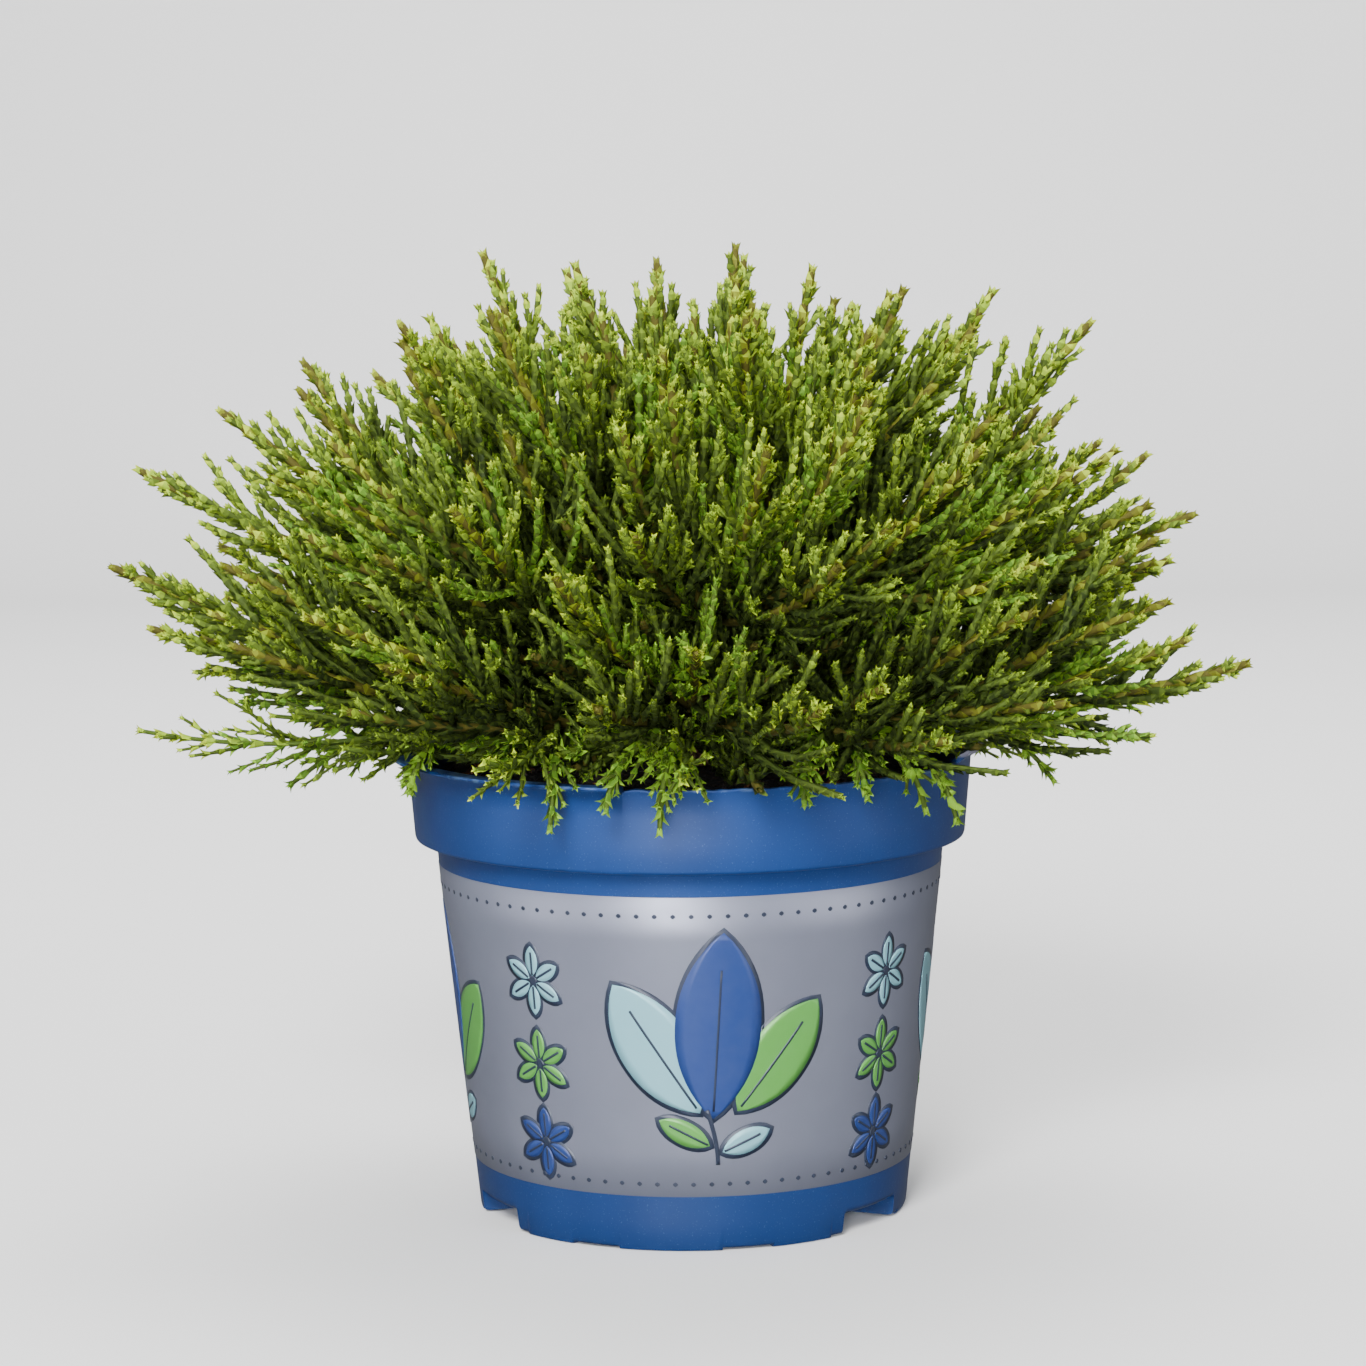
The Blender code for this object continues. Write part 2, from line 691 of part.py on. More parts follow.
def plume_mesh(name, shoot, planes, siblings, chance, flat):
    """A slim four-cornered core with teeth in opposite pairs that slant towards its tip."""
    control, kind = shoot
    length = run_length(control)
    core = SPRIG_CORE if kind == "sprig" else CORE_RADIUS
    bare, toothed = plume_shares(kind, length, flat)
    shares = [*bare, *toothed, 1.0]
    frame = frames([curve_point(control, share) for share in shares], chance.uniform(0, math.tau))
    rise = 1 / math.tan(math.radians(TOOTH_SLANT))
    corners = []
    is_tooth = []
    rings = []
    for k, (point, across, up, tangent) in enumerate(frame):
        if k == len(frame) - 1 or (k == 0 and not flat):
            rings.append([len(corners)] * 4)
            corners.append(point)
            is_tooth.append(False)
            continue
        rings.append([len(corners) + fin for fin in range(4)])
        for fin, out in enumerate((across, up, -across, -up)):
            corner = point + core * out
            tooth = None
            if len(bare) <= k < len(frame) - 2 and (fin + k) % 2 == 0:
                spread = tooth_spread(kind, point, (1 - shares[k]) * length)
                spread *= chance.uniform(*TOOTH_SHARE)
                for cut in TOOTH_CUTS:
                    reach = corner + cut * spread * (out + rise * tangent)
                    clear = depth_in(reach, siblings) > -SIBLING_OVERLAP
                    if clear and is_free(reach, planes, (point, frame[k - 1][0])):
                        tooth = reach
                        break
            corners.append(tooth or corner)
            is_tooth.append(tooth is not None)
    faces = ring_faces(rings, is_tooth)
    if flat:
        faces.append(tuple(reversed(rings[0])))
    mesh = bpy.data.meshes.new(name)
    mesh.from_pydata(corners, [], faces)
    return add_object(name, mesh)


def keep_largest_body(obj):
    """Drops loose scraps and the shells of sealed hollows."""
    bm = bmesh.new()
    bm.from_mesh(obj.data)
    left = set(bm.verts)
    bodies = []
    while left:
        body = set()
        front = [left.pop()]
        while front:
            vertex = front.pop()
            body.add(vertex)
            for edge in vertex.link_edges:
                other = edge.other_vert(vertex)
                if other in left:
                    left.discard(other)
                    front.append(other)
        bodies.append(body)
    bodies.sort(key=len)
    scraps = [vertex for body in bodies[:-1] for vertex in body]
    bmesh.ops.delete(bm, geom=scraps, context="VERTS")
    bm.to_mesh(obj.data)
    bm.free()


def make_masses(axes, material):
    """Every mass of foliage: its own stem, side plumes and hanging sprigs, fused to one body."""
    for index, shoots in enumerate(plan_crown(axes)):
        name = f"foliage_{axes[index][0]}"
        chance = random.Random(name)
        planes = cell_planes(axes, index)
        pieces = []
        for i, shoot in enumerate(shoots):
            siblings = sibling_planes(shoots, i)
            pieces.append(plume_mesh(name, shoot, planes, siblings, chance, flat=i == 0))
        mass = pieces[0]
        if len(pieces) > 1:
            boolean(mass, pieces[1:], "UNION")
        keep_largest_body(mass)
        mass.data.materials.append(material)


def main():
    """Builds the whole potted plant."""
    clear_scene()
    bark = make_material("bark")
    axes = mass_axes()
    make_pot(make_material("pot_plastic"))
    make_compost(make_material("compost"))
    make_stem(bark)
    make_boughs(axes, bark)
    make_masses(axes, make_material("foliage"))


main()
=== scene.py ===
# %% [markdown]
# A whipcord shrub in a blue nursery pot
#
# The imported solids are a fixed frame that is never moved. They are loaded first, and every
# piece made below takes the place of one or more of them. The box of the solids is kept.

# %% The frame
import math
import random
from collections import namedtuple

import bpy
import numpy as np
from mathutils import Matrix, Vector, noise


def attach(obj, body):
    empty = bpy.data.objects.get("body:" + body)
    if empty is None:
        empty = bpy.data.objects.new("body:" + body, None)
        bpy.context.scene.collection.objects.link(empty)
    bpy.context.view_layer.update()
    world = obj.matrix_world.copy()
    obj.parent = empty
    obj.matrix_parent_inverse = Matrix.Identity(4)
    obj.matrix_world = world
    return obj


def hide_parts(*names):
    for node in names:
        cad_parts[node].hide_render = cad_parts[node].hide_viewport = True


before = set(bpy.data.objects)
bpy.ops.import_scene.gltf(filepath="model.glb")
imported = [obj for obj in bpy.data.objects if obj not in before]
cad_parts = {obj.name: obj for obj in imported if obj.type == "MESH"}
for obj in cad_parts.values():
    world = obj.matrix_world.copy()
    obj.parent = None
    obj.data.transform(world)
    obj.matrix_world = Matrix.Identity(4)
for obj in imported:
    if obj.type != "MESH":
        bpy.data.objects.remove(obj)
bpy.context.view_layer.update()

MM = 0.001
print("solids loaded:", len(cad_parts))

# %% [markdown]
# Camera, floor and light
#
# The plant was photographed from about an arm's length with a long lens, a little from
# above. A camera is placed by its position and two turns: the tilt about its own X axis and
# a slight roll about its line of sight. The floor is a pale plane, and three large soft
# lamps stand in for studio boxes, because a small plant with thousands of tiny leaves reads
# best when no hard shadow hides them.

# %% Camera, floor and light
LENS = 110.7
EYE = Vector((-0.0012, -0.907, 0.2205))
TILT_DOWN = 6.66
ROLL = -0.57


def add_camera():
    """The camera, with a long lens on a full-frame sensor."""
    data = bpy.data.cameras.new("camera")
    data.lens = LENS
    data.sensor_width = 36
    camera = bpy.data.objects.new("camera", data)
    bpy.context.scene.collection.objects.link(camera)
    turn = Matrix.Rotation(math.radians(90 - TILT_DOWN), 4, "X")
    camera.matrix_world = Matrix.Translation(EYE) @ turn @ Matrix.Rotation(math.radians(ROLL), 4, "Z")
    bpy.context.scene.camera = camera
    return camera


def add_lamp(name, place, size, watts, target=(0, 0, 0.1), spread=180):
    """A square soft lamp that faces the middle of the plant, or another place."""
    data = bpy.data.lights.new(name, "AREA")
    data.size = size
    data.energy = watts
    data.spread = math.radians(spread)
    lamp = bpy.data.objects.new(name, data)
    bpy.context.scene.collection.objects.link(lamp)
    lamp.visible_camera = False
    lamp.location = place
    lamp.rotation_mode = "QUATERNION"
    lamp.rotation_quaternion = (Vector(target) - Vector(place)).to_track_quat("-Z", "Y")
    return lamp


def add_world(brightness):
    """An even pale surround."""
    world = bpy.data.worlds.new("surround")
    world.use_nodes = True
    background = world.node_tree.nodes["Background"]
    background.inputs["Color"].default_value = (1, 1, 1, 1)
    background.inputs["Strength"].default_value = brightness
    bpy.context.scene.world = world


add_camera()
add_world(0.25)
add_lamp("key", (-0.3, -1.35, 0.95), 0.5, 45)
add_lamp("low", (-0.12, -1.25, 0.2), 0.3, 0.55, (0, 0, 0.105), 30)
add_lamp("fill", (1.1, -0.8, 0.5), 0.8, 4)
for name, place, watts in (
    ("sheen_middle", (-0.3, -1.3, 0.35), 12),
    ("sheen_left", (-1.2, -0.45, 0.35), 10),
    ("sheen_right", (1.2, -0.45, 0.35), 8),
):
    add_lamp(name, place, 0.8, watts).visible_diffuse = False
add_lamp("top", (0.1, 0.1, 1.3), 0.8, 5)
add_lamp("backdrop", (0, 0.7, 1.5), 1.2, 42, (0, 1.9, 0.1))

# %% [markdown]
# Shader maths as plain Python
#
# A procedural finish is arithmetic on textures. Wiring each Math node by hand hides that
# arithmetic, so one small class wraps a socket and turns + - * into Math nodes. A second
# helper adds any other node from its type, its settings and its inputs.


# %% Shader maths
class Finish:
    """A material under construction."""

    def __init__(self, name):
        self.material = bpy.data.materials.new(name)
        self.material.use_nodes = True
        self.tree = self.material.node_tree
        self.shader = self.tree.nodes["Principled BSDF"]

    def node(self, kind, settings=None, **inputs):
        """Adds a node, sets its settings first and then its sockets, and returns it."""
        made = self.tree.nodes.new(kind)
        for key, value in (settings or {}).items():
            setattr(made, key, value)
        for key, value in inputs.items():
            self.feed(made.inputs[key.replace("_", " ")], value)
        return made

    def feed(self, socket, value):
        """Links a wrapped socket, or sets a plain value."""
        if isinstance(value, Wire):
            self.tree.links.new(value.socket, socket)
        elif isinstance(value, bpy.types.NodeSocket):
            self.tree.links.new(value, socket)
        else:
            socket.default_value = value

    def wire(self, socket):
        return Wire(self, socket)

    def place(self):
        """The point on the surface, in the object's own metres."""
        return self.node("ShaderNodeTexCoord").outputs["Object"]

    def noise(self, scale, detail=2.0, vector=None):
        """A soft noise between 0 and 1."""
        made = self.node("ShaderNodeTexNoise", Scale=scale, Detail=detail)
        self.feed(made.inputs["Vector"], self.place() if vector is None else vector)
        return self.wire(made.outputs["Fac"])

    def blend(self, share, first, second):
        """A colour between two, by a share from 0 to 1."""
        made = self.node("ShaderNodeMix", {"data_type": "RGBA"})
        self.feed(made.inputs[0], share)
        self.feed(made.inputs[6], (*first, 1) if isinstance(first, tuple) else first)
        self.feed(made.inputs[7], (*second, 1) if isinstance(second, tuple) else second)
        return made.outputs[2]

    def step(self, value, low, high):
        """0 below low, 1 above high, smooth between."""
        made = self.node("ShaderNodeMapRange", {"interpolation_type": "SMOOTHSTEP"})
        self.feed(made.inputs["Value"], value)
        made.inputs["From Min"].default_value = low
        made.inputs["From Max"].default_value = high
        return self.wire(made.outputs["Result"])

    def bump(self, height, distance, strength=1.0):
        """Feeds the surface's normal from a height."""
        made = self.node("ShaderNodeBump", Strength=strength, Distance=distance)
        self.feed(made.inputs["Height"], height)
        self.feed(self.shader.inputs["Normal"], made.outputs["Normal"])

    def set(self, **inputs):
        """Sets or links sockets of the Principled shader."""
        for key, value in inputs.items():
            value = (*value, 1) if isinstance(value, tuple) and len(value) == 3 else value
            self.feed(self.shader.inputs[key.replace("_", " ")], value)


class Wire:
    """A socket whose operators add Math nodes."""

    def __init__(self, finish, socket):
        self.finish = finish
        self.socket = socket

    def _math(self, operation, first, second):
        made = self.finish.node("ShaderNodeMath", {"operation": operation})
        self.finish.feed(made.inputs[0], first)
        self.finish.feed(made.inputs[1], second)
        return Wire(self.finish, made.outputs[0])

    def __add__(self, other):
        return self._math("ADD", self, other)

    def __radd__(self, other):
        return self._math("ADD", other, self)

    def __sub__(self, other):
        return self._math("SUBTRACT", self, other)

    def __rsub__(self, other):
        return self._math("SUBTRACT", other, self)

    def __mul__(self, other):
        return self._math("MULTIPLY", self, other)

    def __rmul__(self, other):
        return self._math("MULTIPLY", other, self)


def colour(red, green, blue):
    """A linear colour from its usual screen values of 0 to 255."""
    return tuple(((v / 255 + 0.055) / 1.055) ** 2.4 if v > 10 else v / 255 / 12.92 for v in (red, green, blue))


print("screen grey 128 is linear", round(colour(128, 128, 128)[0], 3))

# %% [markdown]
# Meshes from arrays
#
# The plant needs about a million triangles. Adding them one by one in Python would take
# minutes, so points and faces are worked out as whole arrays and handed to Blender at once.


# %% Meshes from arrays
def mesh_piece(name, points, faces, material, nodes=(), smooth=True):
    """An object from arrays, which rides on the plant and stands for the named solids."""
    points = np.asarray(points, np.float32).reshape(-1, 3)
    faces = np.asarray(faces, np.int32)
    mesh = bpy.data.meshes.new(name)
    mesh.vertices.add(len(points))
    mesh.vertices.foreach_set("co", points.ravel())
    mesh.loops.add(faces.size)
    mesh.loops.foreach_set("vertex_index", faces.ravel())
    mesh.polygons.add(len(faces))
    mesh.polygons.foreach_set("loop_start", np.arange(0, faces.size, faces.shape[1], dtype=np.int32))
    mesh.update(calc_edges=True)
    mesh.validate()
    if smooth:
        mesh.shade_smooth()
    mesh.materials.append(material)
    obj = bpy.data.objects.new(name, mesh)
    bpy.context.scene.collection.objects.link(obj)
    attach(obj, "root")
    if nodes:
        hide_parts(*nodes)
    return obj


def grid_faces(rows, columns, closed):
    """Four-sided faces between the points of a grid, row by row, closed across its columns."""
    wide = columns if closed else columns - 1
    row, column = np.meshgrid(np.arange(rows - 1), np.arange(wide), indexing="ij")
    after = (column + 1) % columns
    corners = (row * columns + column, row * columns + after)
    upper = ((row + 1) * columns + after, (row + 1) * columns + column)
    return np.stack([*corners, *upper], axis=-1).reshape(-1, 4)


# %% [markdown]
# The pot
#
# The real pot is injection moulded: a tapered body, a stepped collar and a thin flange, with
# drainage pockets cut into the foot. It could be turned and then cut with Booleans. Here each
# degree of the turn has its own section instead, so a pocket, the torn flange and the bent
# corner are only changes of that section, and the edges can be rounded at no cost.

# %% The pot's section
POT_HEIGHT = 100.5
FLANGE_RADIUS = 65.0
FLANGE_THICK = 0.8
COLLAR_TOP_RADIUS = 61.3
COLLAR_FOOT_RADIUS = 59.8
COLLAR_FOOT_Z = 81.9
BODY_TOP_RADIUS = 55.4
FOOT_RADIUS = 46.7
WALL = 1.3
FLOOR = 1.6
POCKET_ANGLES = (-65, 54.5, 174)
POCKET_WIDTH = 24
POCKET_HEIGHT = 4.8
POCKET_DEPTH = 15.0
POCKET_ROUNDING = 1.2
PAD_GAPS = ((0, 32), (38.4, 13.7), (79.2, 13.7))
PAD_GAP_HEIGHT = 0.5
PAD_GAP_DEPTH = 11.0
TEAR_FROM, TEAR_TO = -13, 68
BENT_FROM, BENT_TO = 66, 104
BENT_LIFT = 2.6
TEAR_EDGE_Z = 99.8


def body_radius(height):
    """The body's outer radius at a height."""
    return FOOT_RADIUS + (BODY_TOP_RADIUS - FOOT_RADIUS) * height / COLLAR_FOOT_Z


def collar_radius(height):
    """The collar's outer radius at a height."""
    share = (height - COLLAR_FOOT_Z) / (POT_HEIGHT - FLANGE_THICK - COLLAR_FOOT_Z)
    return COLLAR_FOOT_RADIUS + share * (COLLAR_TOP_RADIUS - COLLAR_FOOT_RADIUS)


def degrees_off(turn, middle):
    """How many degrees this turn stands away from a middle, either way."""
    return abs((turn - middle + 180) % 360 - 180)


def pocket_top(turn):
    """How high the drainage pocket is at this turn, 0 outside the pockets."""
    inside = POCKET_WIDTH / 2 - min(degrees_off(turn, middle) for middle in POCKET_ANGLES)
    if inside < 0:
        return 0
    short = max(0, POCKET_ROUNDING - math.radians(inside) * FOOT_RADIUS)
    return POCKET_HEIGHT - POCKET_ROUNDING + math.sqrt(POCKET_ROUNDING ** 2 - short ** 2)


def pad_gaps():
    """The middle and width of each shallow gap between the foot's pads, in degrees."""
    return [(middle + on, width) for middle in POCKET_ANGLES for on, width in PAD_GAPS]


def foot_points(turn):
    """The section from the underside up the foot's corner."""
    inner = FOOT_RADIUS - POCKET_DEPTH
    pad = FOOT_RADIUS - PAD_GAP_DEPTH
    top = pocket_top(turn)
    if top:
        edge = body_radius(top)
        return [
            (inner, 0), (inner, top - 1.5), (inner + 1.5, top), (pad + 1, top),
            (edge - 0.7, top), (body_radius(top + 0.7), top + 0.7),
        ]
    in_gap = any(degrees_off(turn, middle) < width / 2 for middle, width in pad_gaps())
    lift = PAD_GAP_HEIGHT if in_gap else 0
    return [
        (inner, 0), (pad, 0), (pad + 1, lift), (FOOT_RADIUS - 1, lift),
        (FOOT_RADIUS - 0.2, lift + 0.2), (body_radius(lift + 0.9), lift + 0.9),
    ]


def rim_points(turn):
    """The section over the rim: the flange, or the skin that is left where it is torn off."""
    top = POT_HEIGHT
    under = top - FLANGE_THICK
    inside = collar_radius(top) - WALL
    if TEAR_FROM < turn < TEAR_TO:
        ragged = noise.noise(Vector((turn * 0.35, 3.1, 0)))
        edge = TEAR_EDGE_Z + 0.45 * ragged
        skin = COLLAR_TOP_RADIUS + 0.2 + 0.15 * noise.noise(Vector((turn * 0.9, 7.7, 0)))
        return [
            (collar_radius(edge - 1.2), edge - 1.2), (skin - 0.1, edge - 0.7), (skin, edge - 0.4),
            (skin, edge - 0.15), (skin - 0.3, edge), (inside + 0.5, edge), (inside + 0.1, edge - 0.3),
        ]
    lift = 0
    if BENT_FROM < turn < BENT_TO:
        lift = BENT_LIFT * (1 - (turn - BENT_FROM) / (BENT_TO - BENT_FROM))
    out = FLANGE_RADIUS
    return [
        (collar_radius(under - 0.4), under - 0.4), (COLLAR_TOP_RADIUS + 0.5, under + 0.1 * lift),
        (out - 0.3, under + lift), (out, under + 0.4 + lift), (out - 0.3, top + lift),
        (COLLAR_TOP_RADIUS - 0.4, top + 0.1 * lift), (inside, top - 0.5),
    ]


def pot_section(turn):
    """All points of the section, from the middle of the underside round to the floor's middle."""
    collar = COLLAR_FOOT_Z
    points = [(0.01, 0), *foot_points(turn)]
    points += [(body_radius(z), z) for z in (6, 8, 20, 40, 60, 75, collar - 0.9)]
    points += [
        (body_radius(collar) + 0.2, collar - 0.2), (body_radius(collar) + 0.8, collar),
        (COLLAR_FOOT_RADIUS - 0.6, collar), (COLLAR_FOOT_RADIUS - 0.1, collar + 0.25),
        (collar_radius(collar + 0.8), collar + 0.8),
    ]
    points += [(collar_radius(z), z) for z in (88, 94)]
    points += rim_points(turn)
    ledge = collar + WALL
    points += [(collar_radius(ledge) - WALL, ledge), (BODY_TOP_RADIUS - WALL, ledge)]
    step = FOOT_RADIUS - POCKET_DEPTH - WALL
    top = pocket_top(turn)
    if top:
        low = top + WALL
        points += [(body_radius(low) - WALL, low), (step, low)]
    else:
        points += [(FOOT_RADIUS - WALL, FLOOR), (step + 1, FLOOR)]
    return points + [(step, FLOOR), (0.01, FLOOR)]


def around(radius, degrees, height):
    """A point at this radius and height, turned from the front towards the right."""
    turn = math.radians(degrees)
    return Vector((radius * math.sin(turn), -radius * math.cos(turn), height))


def pot_turns():
    """The turns at which the pot has a section: even steps, and both sides of each edge."""
    turns = list(np.arange(-180, 180, 1.5))
    for middle in POCKET_ANGLES:
        for side in (-1, 1):
            edge = middle + side * POCKET_WIDTH / 2
            turns += [edge - side * inwards for inwards in (-0.12, 0.12, 0.4, 0.8, 1.3)]
    gap_edges = [middle + side * width / 2 for middle, width in pad_gaps() for side in (-1, 1)]
    for edge in (TEAR_FROM, TEAR_TO, *gap_edges):
        turns += [edge - 0.1, edge + 0.1]
    turns = sorted((turn + 180) % 360 - 180 for turn in turns)
    return [turn for turn, after in zip(turns, turns[1:] + [999]) if after - turn > 0.05]


def make_pot(material):
    """The pot as one closed skin."""
    turns = pot_turns()
    points = [[around(r * MM, t, z * MM) for r, z in pot_section(t)] for t in turns]
    rows = len(points[0])
    swapped = np.array(points).transpose(1, 0, 2)
    faces = grid_faces(rows, len(turns), closed=True)
    pot = mesh_piece("pot_shell", swapped, faces, material, ["pot"])
    pot.data.set_sharp_from_angle(angle=math.radians(50))
    return pot


def pearly_plastic():
    """Blue polypropylene with a pearly sheen, fine flow marks and pale specks, a paler rim lip that is partly
    wear and partly a painted highlight, and painted shade towards the foot.
    """
    finish = Finish("pearly_blue_plastic")
    height = finish.wire(finish.node("ShaderNodeSeparateXYZ", Vector=finish.place()).outputs["Z"])
    drawn = finish.node(
        "ShaderNodeVectorMath", {"operation": "MULTIPLY"}, Vector=finish.place(),
    )
    drawn.inputs[1].default_value = (1, 1, 0.12)
    cloud = 0.5 * finish.noise(28, 3) + 0.5 * finish.noise(90, 3, drawn.outputs[0])
    fleck = finish.step(finish.noise(2600, 1), 0.66, 0.74)
    # a patchy paler band on the top of the rim's lip: partly wear, partly a painted highlight
    worn_lip_and_glint = finish.step(height, 0.0990, 0.0995) * finish.step(finish.noise(240, 3), 0.46, 0.62)
    whitened = finish.step(height, 0.1006, 0.1012)
    blue = finish.blend(cloud, colour(9, 46, 103), colour(20, 63, 128))
    # painted shade: the blue is darkened to three quarters towards the foot, for the shade near the floor
    blue = finish.blend(0.75 + 0.25 * finish.step(height, 0.005, 0.04), colour(0, 0, 0), blue)
    blue = finish.blend(fleck * 0.12, blue, colour(120, 160, 205))
    # the paler lip is blended in: partly wear, partly a painted highlight
    blue = finish.blend(worn_lip_and_glint * 0.4, blue, colour(110, 142, 188))
    blue = finish.blend(whitened * 0.85, blue, colour(150, 148, 170))
    finish.set(Base_Color=blue, Metallic=0.15, Specular_IOR_Level=0.5)
    finish.set(Roughness=0.38 + 0.12 * finish.noise(90, 2))
    finish.bump(finish.noise(900, 2), 0.00004, 0.5)
    return finish.material


make_pot(pearly_plastic())
print("pot sections:", len(pot_turns()))

# %% [markdown]
# The printed band
#
# A printed sleeve is moulded on to the pot's body. It is made as a very thin skin just proud
# of the wall, because a print with crisp edges survives an export best as its own geometry.
# The motifs are leafy sprigs, each a flat shape wrapped on to the same cone.

# %% The printed band
BAND_LOW, BAND_HIGH = 12.0, 76.6
BAND_PROUD = 0.10


def silver_film():
    """Silver-grey printing film."""
    finish = Finish("silver_film")
    cloud = finish.noise(60, 3)
    finish.set(Base_Color=finish.blend(cloud, colour(106, 110, 126), colour(119, 123, 139)))
    finish.set(Metallic=0.35, Roughness=0.38 + 0.1 * finish.noise(200, 2))
    finish.bump(finish.noise(1500, 2), 0.00002, 0.4)
    return finish.material


def make_band(material):
    """The film round the pot, with both edges turned in to the wall."""
    steps = 240
    heights = [BAND_LOW, *np.linspace(BAND_LOW + 0.1, BAND_HIGH - 0.1, 8), BAND_HIGH]
    sections = [(body_radius(z) + BAND_PROUD, z) for z in heights]
    sections[0] = (body_radius(BAND_LOW) - 0.05, BAND_LOW)
    sections[-1] = (body_radius(BAND_HIGH) - 0.05, BAND_HIGH)
    points = [[around(r * MM, 360 * i / steps, z * MM) for i in range(steps)] for r, z in sections]
    faces = grid_faces(len(sections), steps, closed=True)
    return mesh_piece("pot_band", points, faces, material)


make_band(silver_film())
print("band height in mm:", round(BAND_HIGH - BAND_LOW, 1))

# %% [markdown]
# The print on the band
#
# The band carries a plain leafy pattern in aqua, blue and green with dark outlines. Each
# shape is drawn flat, as rows of points, and wrapped on to the cone of the wall. It is a
# thin closed plate, a few hundredths of a millimetre proud. A dark copy, a little larger and
# a little lower, makes the outline, so no edge depends on a texture's resolution.

# %% The print on the band
INK_COLOURS = {
    "navy": colour(16, 30, 54),
    "aqua": colour(120, 172, 184),
    "blue": colour(6, 46, 112),
    "green": colour(78, 148, 58),
}
INK_LIFTS = {"navy": 0.03, "aqua": 0.06, "green": 0.08, "blue": 0.12, "rib": 0.15}
OUTLINE = 0.7
inks = {name: ([], []) for name in INK_COLOURS}


def print_patch(ink, flat, turn, height, lift):
    """Wraps a grid of flat points (rows, columns, 2) round the wall, as a thin closed plate."""
    points, faces = inks[ink]
    rows, columns = flat.shape[:2]
    first = len(points)
    for out in (BAND_PROUD + lift, BAND_PROUD - 0.04):
        for right, up in flat.reshape(-1, 2):
            z = height + up
            radius = body_radius(z)
            points.append(around((radius + out) * MM, turn + math.degrees(right / radius), z * MM))
    top = grid_faces(rows, columns, closed=False)
    size = rows * columns
    faces.extend((top + first).tolist())
    faces.extend((top[:, ::-1] + first + size).tolist())
    edge = [(0, c) for c in range(columns)] + [(r, columns - 1) for r in range(1, rows)]
    edge += [(rows - 1, c) for c in range(columns - 2, -1, -1)] + [(r, 0) for r in range(rows - 2, 0, -1)]
    loop = [r * columns + c + first for r, c in edge]
    for a, b in zip(loop, loop[1:] + loop[:1]):
        faces.append([b, a, a + size, b + size])


def leaf_grid(length, width, tilt, grow):
    """A pointed oval about its own middle, turned by tilt degrees, larger all round by grow."""
    rows, columns = (22, 9) if length > 20 else (12, 5) if length > 4 else (7, 5)
    along_it = np.linspace(-1, 1, rows)
    half = (width / 2) * (1 - np.abs(along_it) ** 2.2) ** 0.9 + grow * (1 - along_it**6) + 0.02
    across_it = np.linspace(-1, 1, columns)
    right = half[:, None] * across_it
    up = np.repeat((along_it * (length / 2 + 1.6 * grow))[:, None], columns, axis=1)
    turn = math.radians(tilt)
    return np.stack([
        right * math.cos(turn) + up * math.sin(turn), up * math.cos(turn) - right * math.sin(turn),
    ], axis=-1)


def stroke_grid(middle, width):
    """A stroke of even width along a list of flat points."""
    middle = np.array(middle, float)
    run = np.gradient(middle, axis=0)
    run /= np.linalg.norm(run, axis=1, keepdims=True)
    beside = np.stack([run[:, 1], -run[:, 0]], axis=1) * width / 2
    return np.stack([middle - beside, middle, middle + beside], axis=1)


def print_leaf(ink, turn, height, right, up, length, width, tilt):
    """One outlined leaf with a rib."""
    offset = np.array([right, up])
    print_patch("navy", leaf_grid(length, width, tilt, OUTLINE) + offset, turn, height, INK_LIFTS["navy"])
    print_patch(ink, leaf_grid(length, width, tilt, 0) + offset, turn, height, INK_LIFTS[ink])
    lean = math.radians(tilt)
    rib = [
        (right + s * length * math.sin(lean), up + s * length * math.cos(lean))
        for s in np.linspace(-0.46, 0.3, 12)
    ]
    print_patch("navy", stroke_grid(rib, 0.5), turn, height, INK_LIFTS["rib"])


def print_dot(ink, turn, height, right, up, radius):
    """A small round dot."""
    print_patch(ink, leaf_grid(2 * radius, 2 * radius, 0, 0) + np.array([right, up]), turn, height, 0.09)


def print_sprig(turn):
    """Three large leaves on a curved stalk, with two small ones at its foot."""
    stalk = [(-2.5 + 2.5 * math.cos(s * 1.5), -23 + 12 * s) for s in np.linspace(0, 1, 14)]
    print_patch("navy", stroke_grid(stalk, 0.9), turn, 42, INK_LIFTS["rib"])
    print_leaf("aqua", turn, 42, -13, 2, 33, 15, -34)
    print_leaf("green", turn, 42, 13, 0, 29, 13, 38)
    print_leaf("blue", turn, 42, 0, 7, 40, 18, 3)
    print_leaf("green", turn, 42, -7, -16, 12, 5, -62)
    print_leaf("aqua", turn, 42, 6, -18, 11, 5, 66)


def print_flower(turn, height, ink):
    """Six small petals round a dot."""
    for petal in range(6):
        lean = math.radians(60 * petal)
        print_leaf(ink, turn, height, 4.2 * math.sin(lean), 4.2 * math.cos(lean), 6.4, 3.2, 60 * petal)
    print_dot("navy", turn, height, 0, 0, 1.1)


def print_band():
    """The whole print: four sprigs, flowers between them, and a dotted line above and below."""
    for quarter in range(4):
        turn = 6 + 90 * quarter
        print_sprig(turn)
        print_flower(turn + 45, 57, "aqua")
        print_flower(turn + 45, 39, "green")
        print_flower(turn + 45, 22, "blue")
    for height, count in ((72.5, 90), (14.8, 80)):
        for i in range(count):
            print_dot("navy", 360 * i / count, height, 0, 0, 0.5)


def ink_finish(name, plain):
    """Printing ink with a slight mottle."""
    finish = Finish(f"ink_{name}")
    paler = tuple(v + 0.02 for v in plain)
    finish.set(Base_Color=finish.blend(finish.noise(300, 2), plain, paler))
    finish.set(Metallic=0.1, Roughness=0.4 + 0.1 * finish.noise(220, 2))
    finish.bump(finish.noise(1500, 2), 0.00002, 0.3)
    return finish.material


